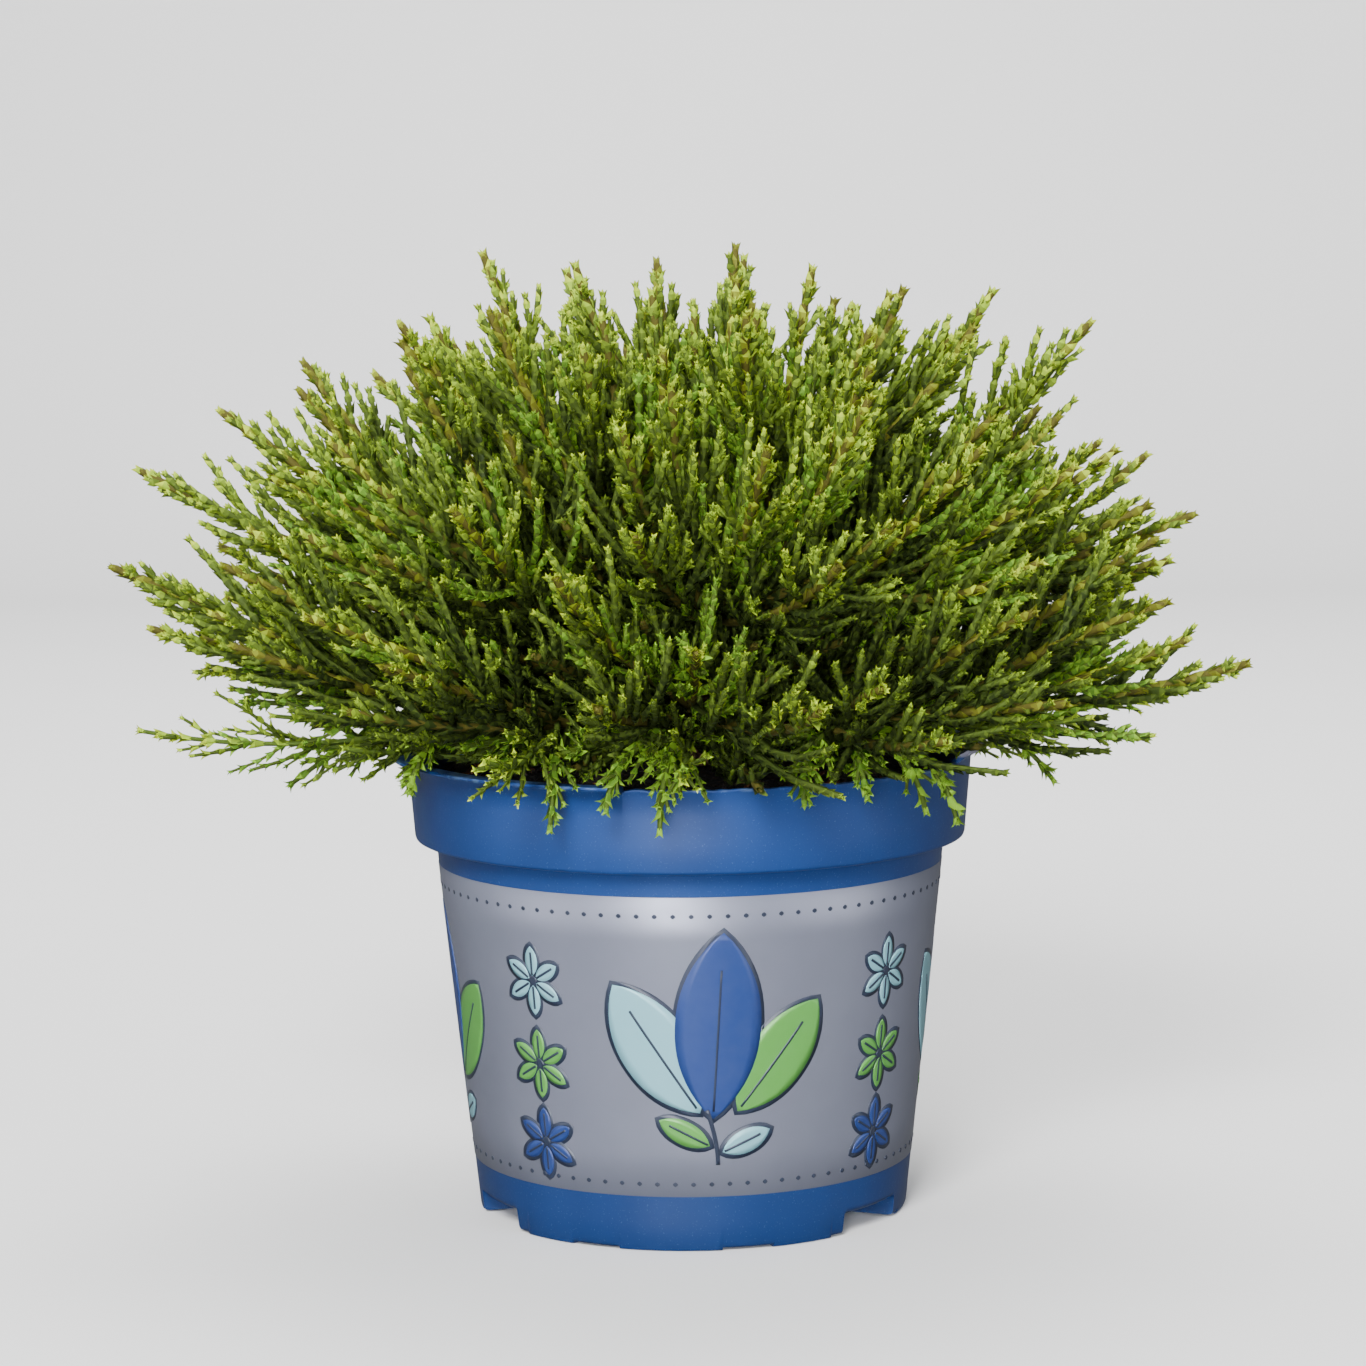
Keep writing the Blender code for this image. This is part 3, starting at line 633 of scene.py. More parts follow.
print_band()
for name, (points, faces) in inks.items():
    mesh_piece(f"print_{name}", points, faces, ink_finish(name, INK_COLOURS[name]), (), False)
    print("print", name, "faces:", len(faces))

# %% [markdown]
# Compost
#
# Moist dark compost is coarse fibre and crumbs. A surface pushed up and down by noise gives
# the lumps, and a few thousand small loose crumbs on it catch the light.

# %% Compost
COMPOST_TOP_Z = 97.0
COMPOST_EDGE_Z = 94.2


def compost_height(x, y):
    """The height of the compost's surface, in millimetres."""
    radius = math.hypot(x, y)
    edge = collar_radius(COMPOST_EDGE_Z) - WALL
    level = COMPOST_EDGE_Z + (COMPOST_TOP_Z - COMPOST_EDGE_Z) * min(1, (edge - radius) / (edge - 12))
    rough = noise.fractal(Vector((x, y, 0)) * 0.22, 0.8, 2.2, 4)
    return level - 0.5 + 0.8 * rough


def dark_compost():
    """Nearly black, with browner fibres."""
    finish = Finish("dark_compost")
    fibre = finish.step(finish.noise(700, 4), 0.5, 0.75)
    finish.set(Base_Color=finish.blend(fibre, colour(24, 19, 16), colour(74, 54, 38)))
    finish.set(Roughness=0.95)
    finish.bump(finish.noise(900, 4), 0.0006)
    return finish.material


def make_compost(material):
    """The filled inside of the pot."""
    steps = 160
    edge = collar_radius(COMPOST_EDGE_Z) - WALL - 0.3
    radii = np.linspace(0.01, edge, 60)
    rows = []
    for radius in radii:
        spots = [around(radius, 360 * i / steps, 0) for i in range(steps)]
        rows.append([(p.x, p.y, compost_height(p.x, p.y)) for p in spots])
    ledge = COLLAR_FOOT_Z + WALL + 0.4
    for radius, z in (
        (COLLAR_FOOT_RADIUS - WALL - 0.3, ledge), (BODY_TOP_RADIUS - WALL - 0.3, ledge),
        (body_radius(30) - WALL - 0.3, 30), (30, 12), (0.01, 12),
    ):
        rows.append([tuple(around(radius, 360 * i / steps, z)) for i in range(steps)])
    faces = grid_faces(len(rows), steps, closed=True)
    return mesh_piece("compost_fill", np.array(rows) * MM, faces, material, ["compost"])


def crumb_finish(name, plain):
    """Dry bark or fibre, one plain colour with a rough grain."""
    finish = Finish(name)
    finish.set(Base_Color=plain, Roughness=0.8 + 0.15 * finish.noise(600, 2))
    finish.bump(finish.noise(1500, 3), 0.0002)
    return finish.material


def make_crumbs(name, count, longest, plain, chance):
    """Loose crumbs and chips on the compost, each a stretched and turned octahedron."""
    corners = [Vector(c) for c in ((1, 0, 0), (0, 1, 0), (-1, 0, 0), (0, -1, 0), (0, 0, 1), (0, 0, -1))]
    points, faces = [], []
    for _ in range(count):
        spot = around(chance.uniform(24, 58), chance.uniform(-180, 180), 0)
        size = longest * chance.uniform(0.3, 1) * Vector((1, chance.uniform(0.3, 0.7), chance.uniform(0.2, 0.5)))
        turned = Matrix.Rotation(chance.uniform(0, math.pi), 3, "Z")
        turned = turned @ Matrix.Rotation(chance.gauss(0, 0.5), 3, "Y")
        middle = Vector((spot.x, spot.y, compost_height(spot.x, spot.y) + 0.3 * size.z))
        first = len(points)
        for corner in corners:
            part = Vector(c * s for c, s in zip(corner, size)) * chance.uniform(0.8, 1.1)
            points.append((middle + turned @ part) * MM)
        for side in range(4):
            faces += [(first + side, first + (side + 1) % 4, first + 4), (first + (side + 1) % 4, first + side, first + 5)]
    mesh_piece(name, [tuple(p) for p in points], faces, crumb_finish(name, plain), (), False)


make_compost(dark_compost())
crumb_chance = random.Random(3)
make_crumbs("compost_crumbs", 1200, 1.3, colour(46, 34, 26), crumb_chance)
make_crumbs("compost_chips", 160, 2.6, colour(104, 62, 42), crumb_chance)
print("compost edge in mm:", round(collar_radius(COMPOST_EDGE_Z) - WALL, 1))

# %% [markdown]
# How the shrub branches
#
# The crown is grown by the same rule and the same random numbers as the solids, so every
# shoot lies inside the mass that it stands for. A ring of axes shares out the space round
# the crown's centre. Each mass takes the shoot tips nearest to its axis, and keeps to a cone
# that ends halfway to its neighbours.

# %% The rule's sizes
CROWN_Z = 102.0 * MM
KNUCKLE_RADIUS = 6.0 * MM
BOUGH_END = 37.0 * MM
STEM_GAP = 0.4 * MM
BOUGH_BEND = 7
TIERS = (
    ("top", 1, 89, 0),
    ("upper", 5, 62, 20),
    ("middle", 8, 36, 4),
    ("lower", 10, 10, 18),
)
PLUMES = 128
LOWEST_PLUME = 1
REACH_TOP = 107.0 * MM
REACH_SIDE = 125.0 * MM
LOW_SHARE = 0.72
LOW_UNTIL = 12
REACH_SHARES = {"plume": (0.85, 0.95), "leader": (0.95, 1.0)}
LEADER_CHANCE = 0.35
CELL_MARGIN = 0.25 * MM
PLUME_MARGIN = 3.4 * MM
TIP_MARGINS = {"plume": PLUME_MARGIN, "leader": 1.5 * MM}
SIDE_ROOTS = (43.0 * MM, 60.0 * MM)
UPTURN = 0.09
UPTURN_SPREAD = 0.07
OUTLINE_TIPS = (
    (-119, 107), (-116, 126), (-124, 142), (-118, 161), (-100, 175), (-82, 184), (-61, 193),
    (-43, 207), (-7, 199), (11, 208), (47, 199), (66, 198), (87, 192), (99, 162), (109, 151),
    (104, 139), (121, 119), (103, 108),
)
OUTLINE_DEPTH = 14.0 * MM
VIEW_DISTANCE = 0.9
SPRIG_TIPS = (
    (-92, 87, 93), (-57, 70, 97), (-24, 70, 93), (-14, 70, 97), (-5, 71, 93), (19, 70, 98),
    (31, 70, 98), (43, 71, 94), (50, 72, 91), (88, 79, 93),
    (118, 74, 95), (146, 71, 93), (171, 76, 96), (199, 70, 94), (226, 73, 92), (248, 80, 95),
)
SPRIG_ROOT = 50.0 * MM
SPRIG_CREST_REACH = 66.5 * MM
SPRIG_CREST_Z = 109.0 * MM
SPRIG_MARGIN = 1.5 * MM
OVER_COMPOST = 98.0 * MM
OVER_RIM = 101.3 * MM
RIM_INSIDE = 57.0 * MM
RIM_OUTSIDE = 66.4 * MM
BENT_RIM_CLEARANCE = 3.2 * MM
CORE_CLEARANCE = 1.3 * MM
SEED = 7
CENTRE = Vector((0, 0, CROWN_Z))


# %% The rule
def aim(azimuth, elevation):
    """The unit vector at this azimuth and elevation, in degrees."""
    turn = math.radians(azimuth)
    rise = math.radians(elevation)
    return Vector((
        math.cos(rise) * math.cos(turn), math.cos(rise) * math.sin(turn), math.sin(rise),
    ))


def frames(points, roll):
    """Each point with two cross directions that don't twist along the run, and its tangent."""
    found = []
    across = None
    for i, point in enumerate(points):
        tangent = (points[min(i + 1, len(points) - 1)] - points[max(i - 1, 0)]).normalized()
        if across is None:
            across = Matrix.Rotation(roll, 3, tangent) @ tangent.orthogonal().normalized()
        across = (across - across.dot(tangent) * tangent).normalized()
        found.append((point, across, tangent.cross(across), tangent))
    return found


def curve_point(control, share):
    """A point along a curve bent towards its middle control point."""
    start, bend, end = control
    rest = 1 - share
    return rest * rest * start + 2 * rest * share * bend + share * share * end


def mass_axes():
    """Each foliage mass's name and the direction in which it lies."""
    axes = []
    for tier, count, elevation, first in TIERS:
        for i in range(count):
            name = tier if count == 1 else f"{tier}_{i + 1:02d}"
            axes.append((name, aim(first + 360 * i / count, elevation)))
    return axes


def bough_points(axis):
    """The run of a bough, from the knuckle to its mass."""
    hinge = Vector((-axis.y, axis.x, 0))
    level = hinge.length
    points = []
    for share in (0, 0.15, 0.3, 0.48, 0.65, 0.82, 1):
        distance = KNUCKLE_RADIUS * 0.6 + share * (BOUGH_END + STEM_GAP - KNUCKLE_RADIUS * 0.6)
        drop = math.radians(BOUGH_BEND) * level * (1 - share) ** 2
        turned_axis = Matrix.Rotation(drop, 3, hinge.normalized()) @ axis if level else axis
        points.append(CENTRE + distance * turned_axis)
    return points


def crown_reach(direction):
    """How far from the centre the longest shoots stand in this direction."""
    elevation = math.asin(direction.normalized().z)
    reach = REACH_TOP + (REACH_SIDE - REACH_TOP) * math.cos(elevation)
    droop = LOW_SHARE + (1 - LOW_SHARE) * math.degrees(elevation) / LOW_UNTIL
    return reach * min(1, max(LOW_SHARE, droop))


def plume_tips(chance):
    """Where each plume's tip stands, spread evenly over the crown, and what kind it is."""
    lowest = math.sin(math.radians(LOWEST_PLUME))
    tips = []
    for i in range(PLUMES):
        rise = 1 - (1 - lowest) * (i + 0.5) / PLUMES
        azimuth = i * 137.508 + chance.uniform(-4, 4)
        elevation = math.degrees(math.asin(rise)) + chance.uniform(-2, 2)
        direction = aim(azimuth, max(LOWEST_PLUME, elevation))
        to_the_side = abs(direction.x) > abs(direction.y)
        kind = "plume" if to_the_side or chance.random() > LEADER_CHANCE else "leader"
        reach = crown_reach(direction) * chance.uniform(*REACH_SHARES[kind])
        tips.append((CENTRE + reach * direction, kind))
    for i, (right, up) in enumerate(OUTLINE_TIPS):
        depth = OUTLINE_DEPTH * (1 if i % 2 else -1)
        nearer = 1 + depth / VIEW_DISTANCE
        tips.append((Vector((right * MM * nearer, depth, up * MM)), "leader"))
    return tips


def cell_planes(axes, index):
    """The unit normals of the planes that bound one mass's cone, each pointing into it."""
    own = axes[index][1]
    return [(own - other).normalized() for i, (_, other) in enumerate(axes) if i != index]


def depth_in(point, planes):
    """How far the point stands inside the nearest of the planes."""
    return min(((point - CENTRE).dot(plane) for plane in planes), default=1.0)


def pulled_in(point, planes, margin):
    """The point, moved into the cone if it is nearer than margin to one of its planes."""
    point = point.copy()
    for _ in range(4):
        for plane in planes:
            depth = (point - CENTRE).dot(plane)
            if depth < margin:
                point += (margin - depth) * plane
    return point


def rim_height(point):
    """How low foliage may come at this point."""
    radius = math.hypot(point.x, point.y)
    if radius > RIM_OUTSIDE:
        return 0
    if radius < RIM_INSIDE:
        return OVER_COMPOST
    turn = math.degrees(math.atan2(point.x, -point.y))
    bent = BENT_FROM - 4 < turn < BENT_TO + 4
    return OVER_RIM + (BENT_RIM_CLEARANCE if bent else 0)


def is_free(point, planes, root):
    """True if the straight line from the root to the point keeps to the cone and off the pot."""
    if depth_in(point, planes) < CELL_MARGIN:
        return False
    return all(step.z > rim_height(step) for step in (root.lerp(point, i / 6) for i in range(1, 7)))


def lifted(control):
    """The curve with its bend raised until its run clears the compost and the rim."""
    start, bend, tip = control
    bend = bend.copy()
    samples = [i / 16 for i in range(17)]
    for _ in range(20):
        points = [curve_point((start, bend, tip), share) for share in samples]
        if all(point.z - CORE_CLEARANCE > rim_height(point) for point in points):
            break
        bend.z += 1 * MM
    return (start, bend, tip)


def plume_curve(start, tip, upturn, planes):
    """A plume's curve: it ends pointing away from the centre, turned up a little."""
    outwards = (tip - CENTRE).normalized()
    ending = (outwards + upturn * Vector((0, 0, 1))).normalized()
    bend = tip - 0.5 * (tip - start).length * ending
    return lifted((start, pulled_in(bend, planes, PLUME_MARGIN), tip))


def nearest_axis(point, axes):
    """The index of the mass whose axis lies nearest to the direction of this point."""
    direction = (point - CENTRE).normalized()
    return max(range(len(axes)), key=lambda i: direction.dot(axes[i][1]))


def plan_crown(axes):
    """The shoots of each mass, its own stem first: each a curve and what kind of shoot it is."""
    chance = random.Random(SEED)
    own_tips = [[] for _ in axes]
    for point, kind in plume_tips(chance):
        own_tips[nearest_axis(point, axes)].append((point, kind))
    plans = []
    for index, (_, axis) in enumerate(axes):
        planes = cell_planes(axes, index)
        tips = [(pulled_in(point, planes, TIP_MARGINS[kind]), kind) for point, kind in own_tips[index]]
        tips.sort(key=lambda tip: -(tip[0] - CENTRE).normalized().dot(axis))
        start = CENTRE + (BOUGH_END + STEM_GAP) * axis
        point, kind = tips[0]
        stem = plume_curve(start, point, chance.gauss(UPTURN, UPTURN_SPREAD), planes)
        shoots = [(stem, kind)]
        run = (point - start).length
        low, high = SIDE_ROOTS
        for rank, (point, kind) in enumerate(tips[1:]):
            distance = low + (high - low) * (rank + 0.5) / (len(tips) - 1)
            root = curve_point(stem, (distance - BOUGH_END) / run)
            upturn = chance.gauss(UPTURN, UPTURN_SPREAD)
            shoots.append((plume_curve(root, point, upturn, planes), kind))
        for turn, reach, height in SPRIG_TIPS:
            point = around(reach * MM, turn, height * MM)
            if nearest_axis(point, axes) != index:
                continue
            root = curve_point(stem, (SPRIG_ROOT - BOUGH_END) / run)
            crest = pulled_in(around(SPRIG_CREST_REACH, turn, SPRIG_CREST_Z), planes, SPRIG_MARGIN)
            shoots.append((lifted((root, crest, pulled_in(point, planes, SPRIG_MARGIN))), "sprig"))
        plans.append(shoots)
    return plans


axes = mass_axes()
plans = plan_crown(axes)
print("masses:", len(plans), "shoots:", sum(len(shoots) for shoots in plans))

# %% [markdown]
# Side shoots
#
# Every shoot of a whipcord shrub is a slim rod wrapped in scale leaves. It carries opposite
# pairs of side rods at a narrow angle, each pair a quarter turn from the last, and they bend
# upwards towards the light, so that the crown looks like a sheaf of coral. The rule of the
# solids gave a few broad teeth at those places. Here it runs on: a plume carries long arms, an
# arm carries a few branchlets, and short stubs crowd round each end as a knobbly head. How a
# shoot carries the next ones is its habit, a few sizes, and each shoot is one quadratic curve.
# One that would leave its mass's space by more than a little is shortened or skipped.

# %% Side shoots
Habit = namedtuple("Habit", "first bare step angle share longest rise")
ARMS = {
    "plume": Habit(0.1, 7 * MM, 7.6 * MM, 30, 0.7, 40 * MM, 0.3),
    "leader": Habit(0.1, 5 * MM, 6.2 * MM, 24, 0.64, 44 * MM, 0.25),
    "slender": Habit(0.2, 8 * MM, 8.0 * MM, 32, 0.6, 22 * MM, 0.05),
    "sprig": Habit(0.3, 3 * MM, 5.6 * MM, 32, 0.6, 13 * MM, 0.0),
    "skirt": Habit(0.35, 3 * MM, 5.5 * MM, 36, 0.7, 12 * MM, 0.2),
    "inner": Habit(0.15, 6 * MM, 8 * MM, 28, 0.8, 40 * MM, 0.4),
}
SLENDER_BELOW = 6
SKIRT_SHOOTS = 72
SKIRT_ROOT = (22.0 * MM, 104.0 * MM)
SKIRT_REACH = (44.0 * MM, 68.0 * MM)
SKIRT_HEIGHT = (99.8 * MM, 103.5 * MM)
SKIRT_RISE = 6.0 * MM
SKIRT_TURN = 16
BRANCHLETS = Habit(0.3, 8 * MM, 9 * MM, 26, 0.55, 13 * MM, 0.15)
BRANCHLET_CHANCE = 0.35
STUBS = Habit(0.72, 1.8 * MM, 2.6 * MM, 30, 0.3, 3.0 * MM, 0.0)
STUB_CHANCE = {"plume": (0.9, 0.3), "leader": (0.3, 0.3)}
STUB_RUN = 5.0 * MM
BRANCHED_FROM = 16 * MM
BRANCH_FULLY = 40 * MM
SHORTEST = 2.0 * MM
OVERLAP = 9.0 * MM
INNER_SHOOTS = 5
INNER_FROM = 15.0 * MM
INNER_TO = (60.0 * MM, 84.0 * MM)
INNER_TURN = 15
UP = Vector((0, 0, 1))


def run_length(control):
    """The length of a curve, from nine of its points."""
    points = [curve_point(control, i / 8) for i in range(9)]
    return sum((after - before).length for before, after in zip(points, points[1:]))


def has_room(point, planes, root):
    """True if a side shoot from the root to the point stays near its mass and off the pot."""
    if depth_in(point, planes) < -OVERLAP:
        return False
    return all(step.z > rim_height(step) for step in (root.lerp(point, i / 4) for i in range(1, 5)))


def side_shoots(control, habit, planes, chance):
    """Opposite pairs of side shoots along a curve."""
    length = run_length(control)
    last = 1 - habit.bare / length
    count = max(1, round(length * (last - habit.first) / habit.step))
    shares = [habit.first + (last - habit.first) * i / count for i in range(count + 1)]
    if last < habit.first:
        return []
    found = []
    run = frames([curve_point(control, share) for share in shares], chance.uniform(0, math.tau))
    for k, (point, across, up, tangent) in enumerate(run):
        left = (1 - shares[k]) * length
        for sign in (-1, 1):
            crown = habit.share * left * min(1, 0.4 + left / BRANCH_FULLY)
            long = min(habit.longest, crown + 1.8 * MM) * chance.uniform(0.65, 1.1)
            slant = math.radians(habit.angle + chance.gauss(0, 6))
            lean = (up if k % 2 else across) * sign
            lean = (lean + chance.gauss(0, 0.4) * lean.cross(tangent)).normalized()
            rise = habit.rise * (0.5 + abs(tangent.y)) * chance.uniform(0.4, 1.6) * UP
            for cut in (1, 0.75, 0.5, 0.3):
                reach = cut * long
                heading = math.sin(slant) * lean + math.cos(slant) * tangent
                tip = point + reach * (heading + rise).normalized()
                if reach > SHORTEST and has_room(tip, planes, point):
                    steep = math.sin(1.4 * slant) * lean + math.cos(1.4 * slant) * tangent
                    found.append((point.copy(), point + 0.42 * reach * steep, tip))
                    break
    return found


def inner_shoots(axis, planes, chance):
    """Shoots inside the crown, beside the bough, which close the view through it."""
    found = []
    across = axis.orthogonal().normalized()
    first = chance.uniform(0, math.tau)
    for i in range(INNER_SHOOTS):
        hinge = Matrix.Rotation(first + math.tau * i / INNER_SHOOTS, 3, axis) @ across
        direction = Matrix.Rotation(math.radians(INNER_TURN), 3, hinge) @ axis
        start = CENTRE + INNER_FROM * direction
        tip = CENTRE + chance.uniform(*INNER_TO) * direction
        bend = start.lerp(tip, 0.5) + 3 * MM * UP
        if is_free(tip, planes, start) and start.z > OVER_COMPOST + CORE_CLEARANCE:
            found.append((lifted((start, bend, tip)), "inner"))
    return found


def skirt_shoots(axes, chance):
    """Low shoots of each mass, which lie over the compost as far as the rim."""
    found = [[] for _ in axes]
    for i in range(SKIRT_SHOOTS):
        turn = 360 * (i + chance.uniform(-0.3, 0.3)) / SKIRT_SHOOTS
        start = around(SKIRT_ROOT[0], turn, SKIRT_ROOT[1])
        aside = turn + chance.uniform(-SKIRT_TURN, SKIRT_TURN)
        reach = chance.random()
        height = chance.uniform(*SKIRT_HEIGHT) + reach * SKIRT_RISE
        tip = around(SKIRT_REACH[0] + reach * (SKIRT_REACH[1] - SKIRT_REACH[0]), aside, height)
        index = nearest_axis(tip, axes)
        if is_free(tip, cell_planes(axes, index), start):
            found[index].append(((start, start.lerp(tip, 0.5) + 3 * MM * UP, tip), "skirt"))
    return found


def head_of(control, planes, chance):
    """The stubs that crowd round a shoot's end."""
    habit = STUBS._replace(first=max(0.3, 1 - STUB_RUN / run_length(control)))
    return side_shoots(control, habit, planes, chance)


def grow(axes, plans):
    """Every shoot of the crown: its curve, its order from 1 to 4, its kind, length and tint."""
    chance = random.Random(SEED + 1)
    grown = []

    def add(control, order, kind, tint):
        grown.append((control, order, kind, run_length(control), tint))

    skirt = skirt_shoots(axes, chance)
    for index, shoots in enumerate(plans):
        planes = cell_planes(axes, index)
        for control, kind in shoots + skirt[index] + inner_shoots(axes[index][1], planes, chance):
            spray = chance.random()
            away = control[2] - CENTRE
            if kind in ("plume", "leader") and away.z < math.sin(math.radians(SLENDER_BELOW)) * away.length:
                kind = "slender"
            add(control, 1, kind, spray)
            ends = [(control, 1, spray)]
            for arm in side_shoots(control, ARMS[kind], planes, chance):
                tint = spray + chance.gauss(0, 0.15)
                add(arm, 2, kind, tint)
                ends.append((arm, 2, tint))
                if run_length(arm) > BRANCHED_FROM:
                    for branchlet in side_shoots(arm, BRANCHLETS, planes, chance):
                        if chance.random() < BRANCHLET_CHANCE:
                            add(branchlet, 3, kind, tint)
            for end, order, tint in ends:
                if kind in STUB_CHANCE and chance.random() < STUB_CHANCE[kind][order - 1]:
                    for stub in head_of(end, planes, chance):
                        add(stub, 4, kind, tint)
    return grown


grown = grow(axes, plans)
for order, name in enumerate(("shoots", "arms", "branchlets", "stubs"), start=1):
    lengths = [shoot[3] for shoot in grown if shoot[1] == order]
    print(f"{name}: {len(lengths)}, {sum(lengths):.1f} m in all")

# %% [markdown]
# Leaves
#
# A scale leaf is half of a funnel that clasps the stem and ends in a point that stands off a
# little. Two of them close the funnel, and the next pair sits a quarter turn on. Six triangles
# give its two cheeks, its keel and its point. All leaves are laid along their curves in one
# array sum: each shoot is repeated once for each of its leaves, and each leaf knows its share
# of the way. The last two pairs are crowded and open into a small rosette. A colour that has a
# place, such as the lime tips, is dealt out by spray, with one plain colour for each kind of
# leaf, because a plain colour stays where it is put on a piece of many thousand leaves.

# %% Leaves
Leaf = namedtuple("Leaf", "step long stem open")
LEAVES = {
    1: Leaf(3.3, 4.2, 1.1, 9),
    2: Leaf(2.0, 2.8, 0.8, 10),
    3: Leaf(1.8, 2.4, 0.66, 12),
    4: Leaf(1.3, 1.8, 0.55, 14),
}
Dress = namedtuple("Dress", "spacing stem open rosette")
DRESSES = {
    "plume": Dress(1.0, 1.0, 1.0, 8),
    "leader": Dress(1.2, 1.08, 0.9, 3),
    "slender": Dress(1.6, 0.62, 2.6, 10),
    "sprig": Dress(1.2, 0.7, 2.7, 5),
    "skirt": Dress(1.2, 0.68, 1.9, 5),
    "inner": Dress(1.2, 1.0, 1.2, 10),
}
BODY_FACES = np.array([(0, 1, 4), (0, 4, 3), (1, 2, 5), (1, 5, 4)])
POINT_FACES = np.array([(0, 1, 3), (1, 2, 3)])
LEAF_COLOURS = {
    "shade": colour(38, 50, 19),
    "deep": colour(58, 73, 26),
    "green": colour(84, 104, 34),
    "fresh": colour(115, 140, 40),
    "lime": colour(150, 180, 44),
    "yellow": colour(182, 202, 50),
    "golden": colour(124, 132, 38),
    "olive": colour(98, 100, 32),
    "young": colour(88, 126, 38),
    "bright": colour(126, 168, 46),
}


def leaf_finish(name, plain):
    """A waxy leaf: one plain colour, with sheen and a fine grain from its nodes."""
    finish = Finish(f"leaf_{name}")
    finish.set(Base_Color=plain, Roughness=0.5 + 0.2 * finish.noise(400, 2))
    finish.set(Specular_IOR_Level=0.08)
    finish.bump(finish.noise(1800, 2), 0.00008, 0.5)
    return finish.material


def unit(vectors):
    """The vectors at length 1."""
    return vectors / np.maximum(np.linalg.norm(vectors, axis=-1, keepdims=True), 1e-12)


def along(curves, share):
    """Points and unit tangents on curves (count, 3, 3) at the given shares."""
    share = share[:, None]
    rest = 1 - share
    start, bend, tip = curves[:, 0], curves[:, 1], curves[:, 2]
    points = rest**2 * start + 2 * rest * share * bend + share**2 * tip
    return points, unit(rest * (bend - start) + share * (tip - bend))


def leaf_class(order, kind, share, outward, spray, jitter):
    """The colour of each leaf: by spray and by its place on the shoot, with painted shade that darkens leaves
    deep in the crown and painted light that brightens the low shoots.
    """
    tip = np.where(order == 4, 1, np.clip((share - 0.5) / 0.5, 0, 1) ** 2)
    # painted shade: the less far out a leaf stands, the darker its class, and pale tips show only near the
    # crown's surface
    value = 0.5 * outward**2 + 0.48 * tip * outward + 0.26 * (spray - 0.5) + 0.02 + jitter
    # painted light: the low slender, sprig and skirt shoots are raised to paler classes
    value = value + np.where((kind > 1) & (kind < 5), 0.28, 0)
    classes = np.digitize(value, (0.14, 0.32, 0.54, 0.76))
    golden = (order == 1) & (kind < 2) & (share > 0.4)
    classes = np.where(golden & (spray > 0.65), 6, classes)
    classes = np.where(golden & (spray < 0.35), 7, classes)
    low = (kind == 3) | (kind == 4) & (spray > 0.4)
    young = low | (outward < 0.8) & (spray > 0.8) & (order > 1)
    classes = np.where(young & (classes > 0) & (classes < 5), 8, classes)
    return np.where((kind == 3) & (spray > 0.5), 9, classes)


def leaf_arrays(grown, seed):
    """The points of every leaf (count, 7, 3), and its colour class."""
    rng = np.random.default_rng(seed)
    kinds = list(DRESSES)
    curves = np.array([[tuple(p) for p in shoot[0]] for shoot in grown])
    order, kind, length, spray = (
        np.array(values) for values in zip(*[(s[1], kinds.index(s[2]), s[3], s[4]) for s in grown])
    )
    step, long, stem, opening = (
        np.choose(order - 1, [LEAVES[n][field] for n in LEAVES]) for field in range(4)
    )
    spacing, thinner, wider, rosette = (
        np.choose(kind, [DRESSES[name][field] for name in DRESSES]) for field in range(4)
    )
    first = np.where(order == 1, 0.22, 0.04)
    pairs = np.maximum(1, (length * (1 - first) / MM / (step * spacing)).astype(int))
    which = np.repeat(np.arange(len(grown)), pairs + 2)
    number = np.arange(len(which)) - np.repeat(np.cumsum(pairs + 2) - pairs - 2, pairs + 2)
    crowded = np.clip(number - pairs[which] + 1, 0, 2)
    share = first[which] + (1 - first[which]) * np.minimum(number / pairs[which], 1)
    share = np.where(crowded == 1, 1 - 0.35 * MM / length[which], share)
    which, number, crowded, share = (np.repeat(v, 2) for v in (which, number, crowded, share))
    side = np.tile([1.0, -1.0], len(which) // 2)
    points, tangent = along(curves[which], share)
    across = unit(np.cross(tangent, rng.normal(size=(len(grown), 3))[which]))
    out = np.where((number % 2 == 0)[:, None], across, np.cross(tangent, across)) * side[:, None]
    taper = 1 - 0.18 * share**2
    flare = np.choose(crowded, [np.zeros(len(which)), rosette[which], 3])
    angle = (opening * wider)[which] + flare + rng.normal(0, 3, len(which))
    long = long[which] * rng.normal(1, 0.07, len(which)) * taper * np.choose(crowded, [1, 0.62, 0.5])
    stem = (stem * thinner)[which] * taper * np.choose(crowded, [1, 0.95, 0.5])
    cheek = np.choose(crowded, [0.95, 0.65, 0.65])
    sizes = (long * MM, stem * MM, np.radians(angle), cheek)
    leaves = leaf_points(points, tangent, out, *(size[:, None] for size in sizes))
    jitter = rng.normal(0, 0.03, len(which))
    classes = leaf_class(order[which], kind[which], share, outwardness(points), spray[which], jitter)
    return leaves, classes


def leaf_points(points, tangent, out, long, stem, angle, cheek):
    """The seven points of each leaf: its body hugs the stem, and its point stands off more."""
    beside = np.cross(tangent, out)
    body, point = 0.45 * angle, 1.35 * angle
    shoulder = points + 0.5 * long * np.cos(body) * tangent
    swell = stem + 0.5 * long * np.sin(body)
    return np.stack([
        points - stem * beside, points + stem * out, points + stem * beside,
        shoulder + swell * (0.3 * out - cheek * beside), shoulder + 1.06 * swell * out,
        shoulder + swell * (0.3 * out + cheek * beside),
        shoulder + 0.5 * long * np.cos(point) * tangent + (swell + 0.5 * long * np.sin(point)) * out,
    ], axis=1)


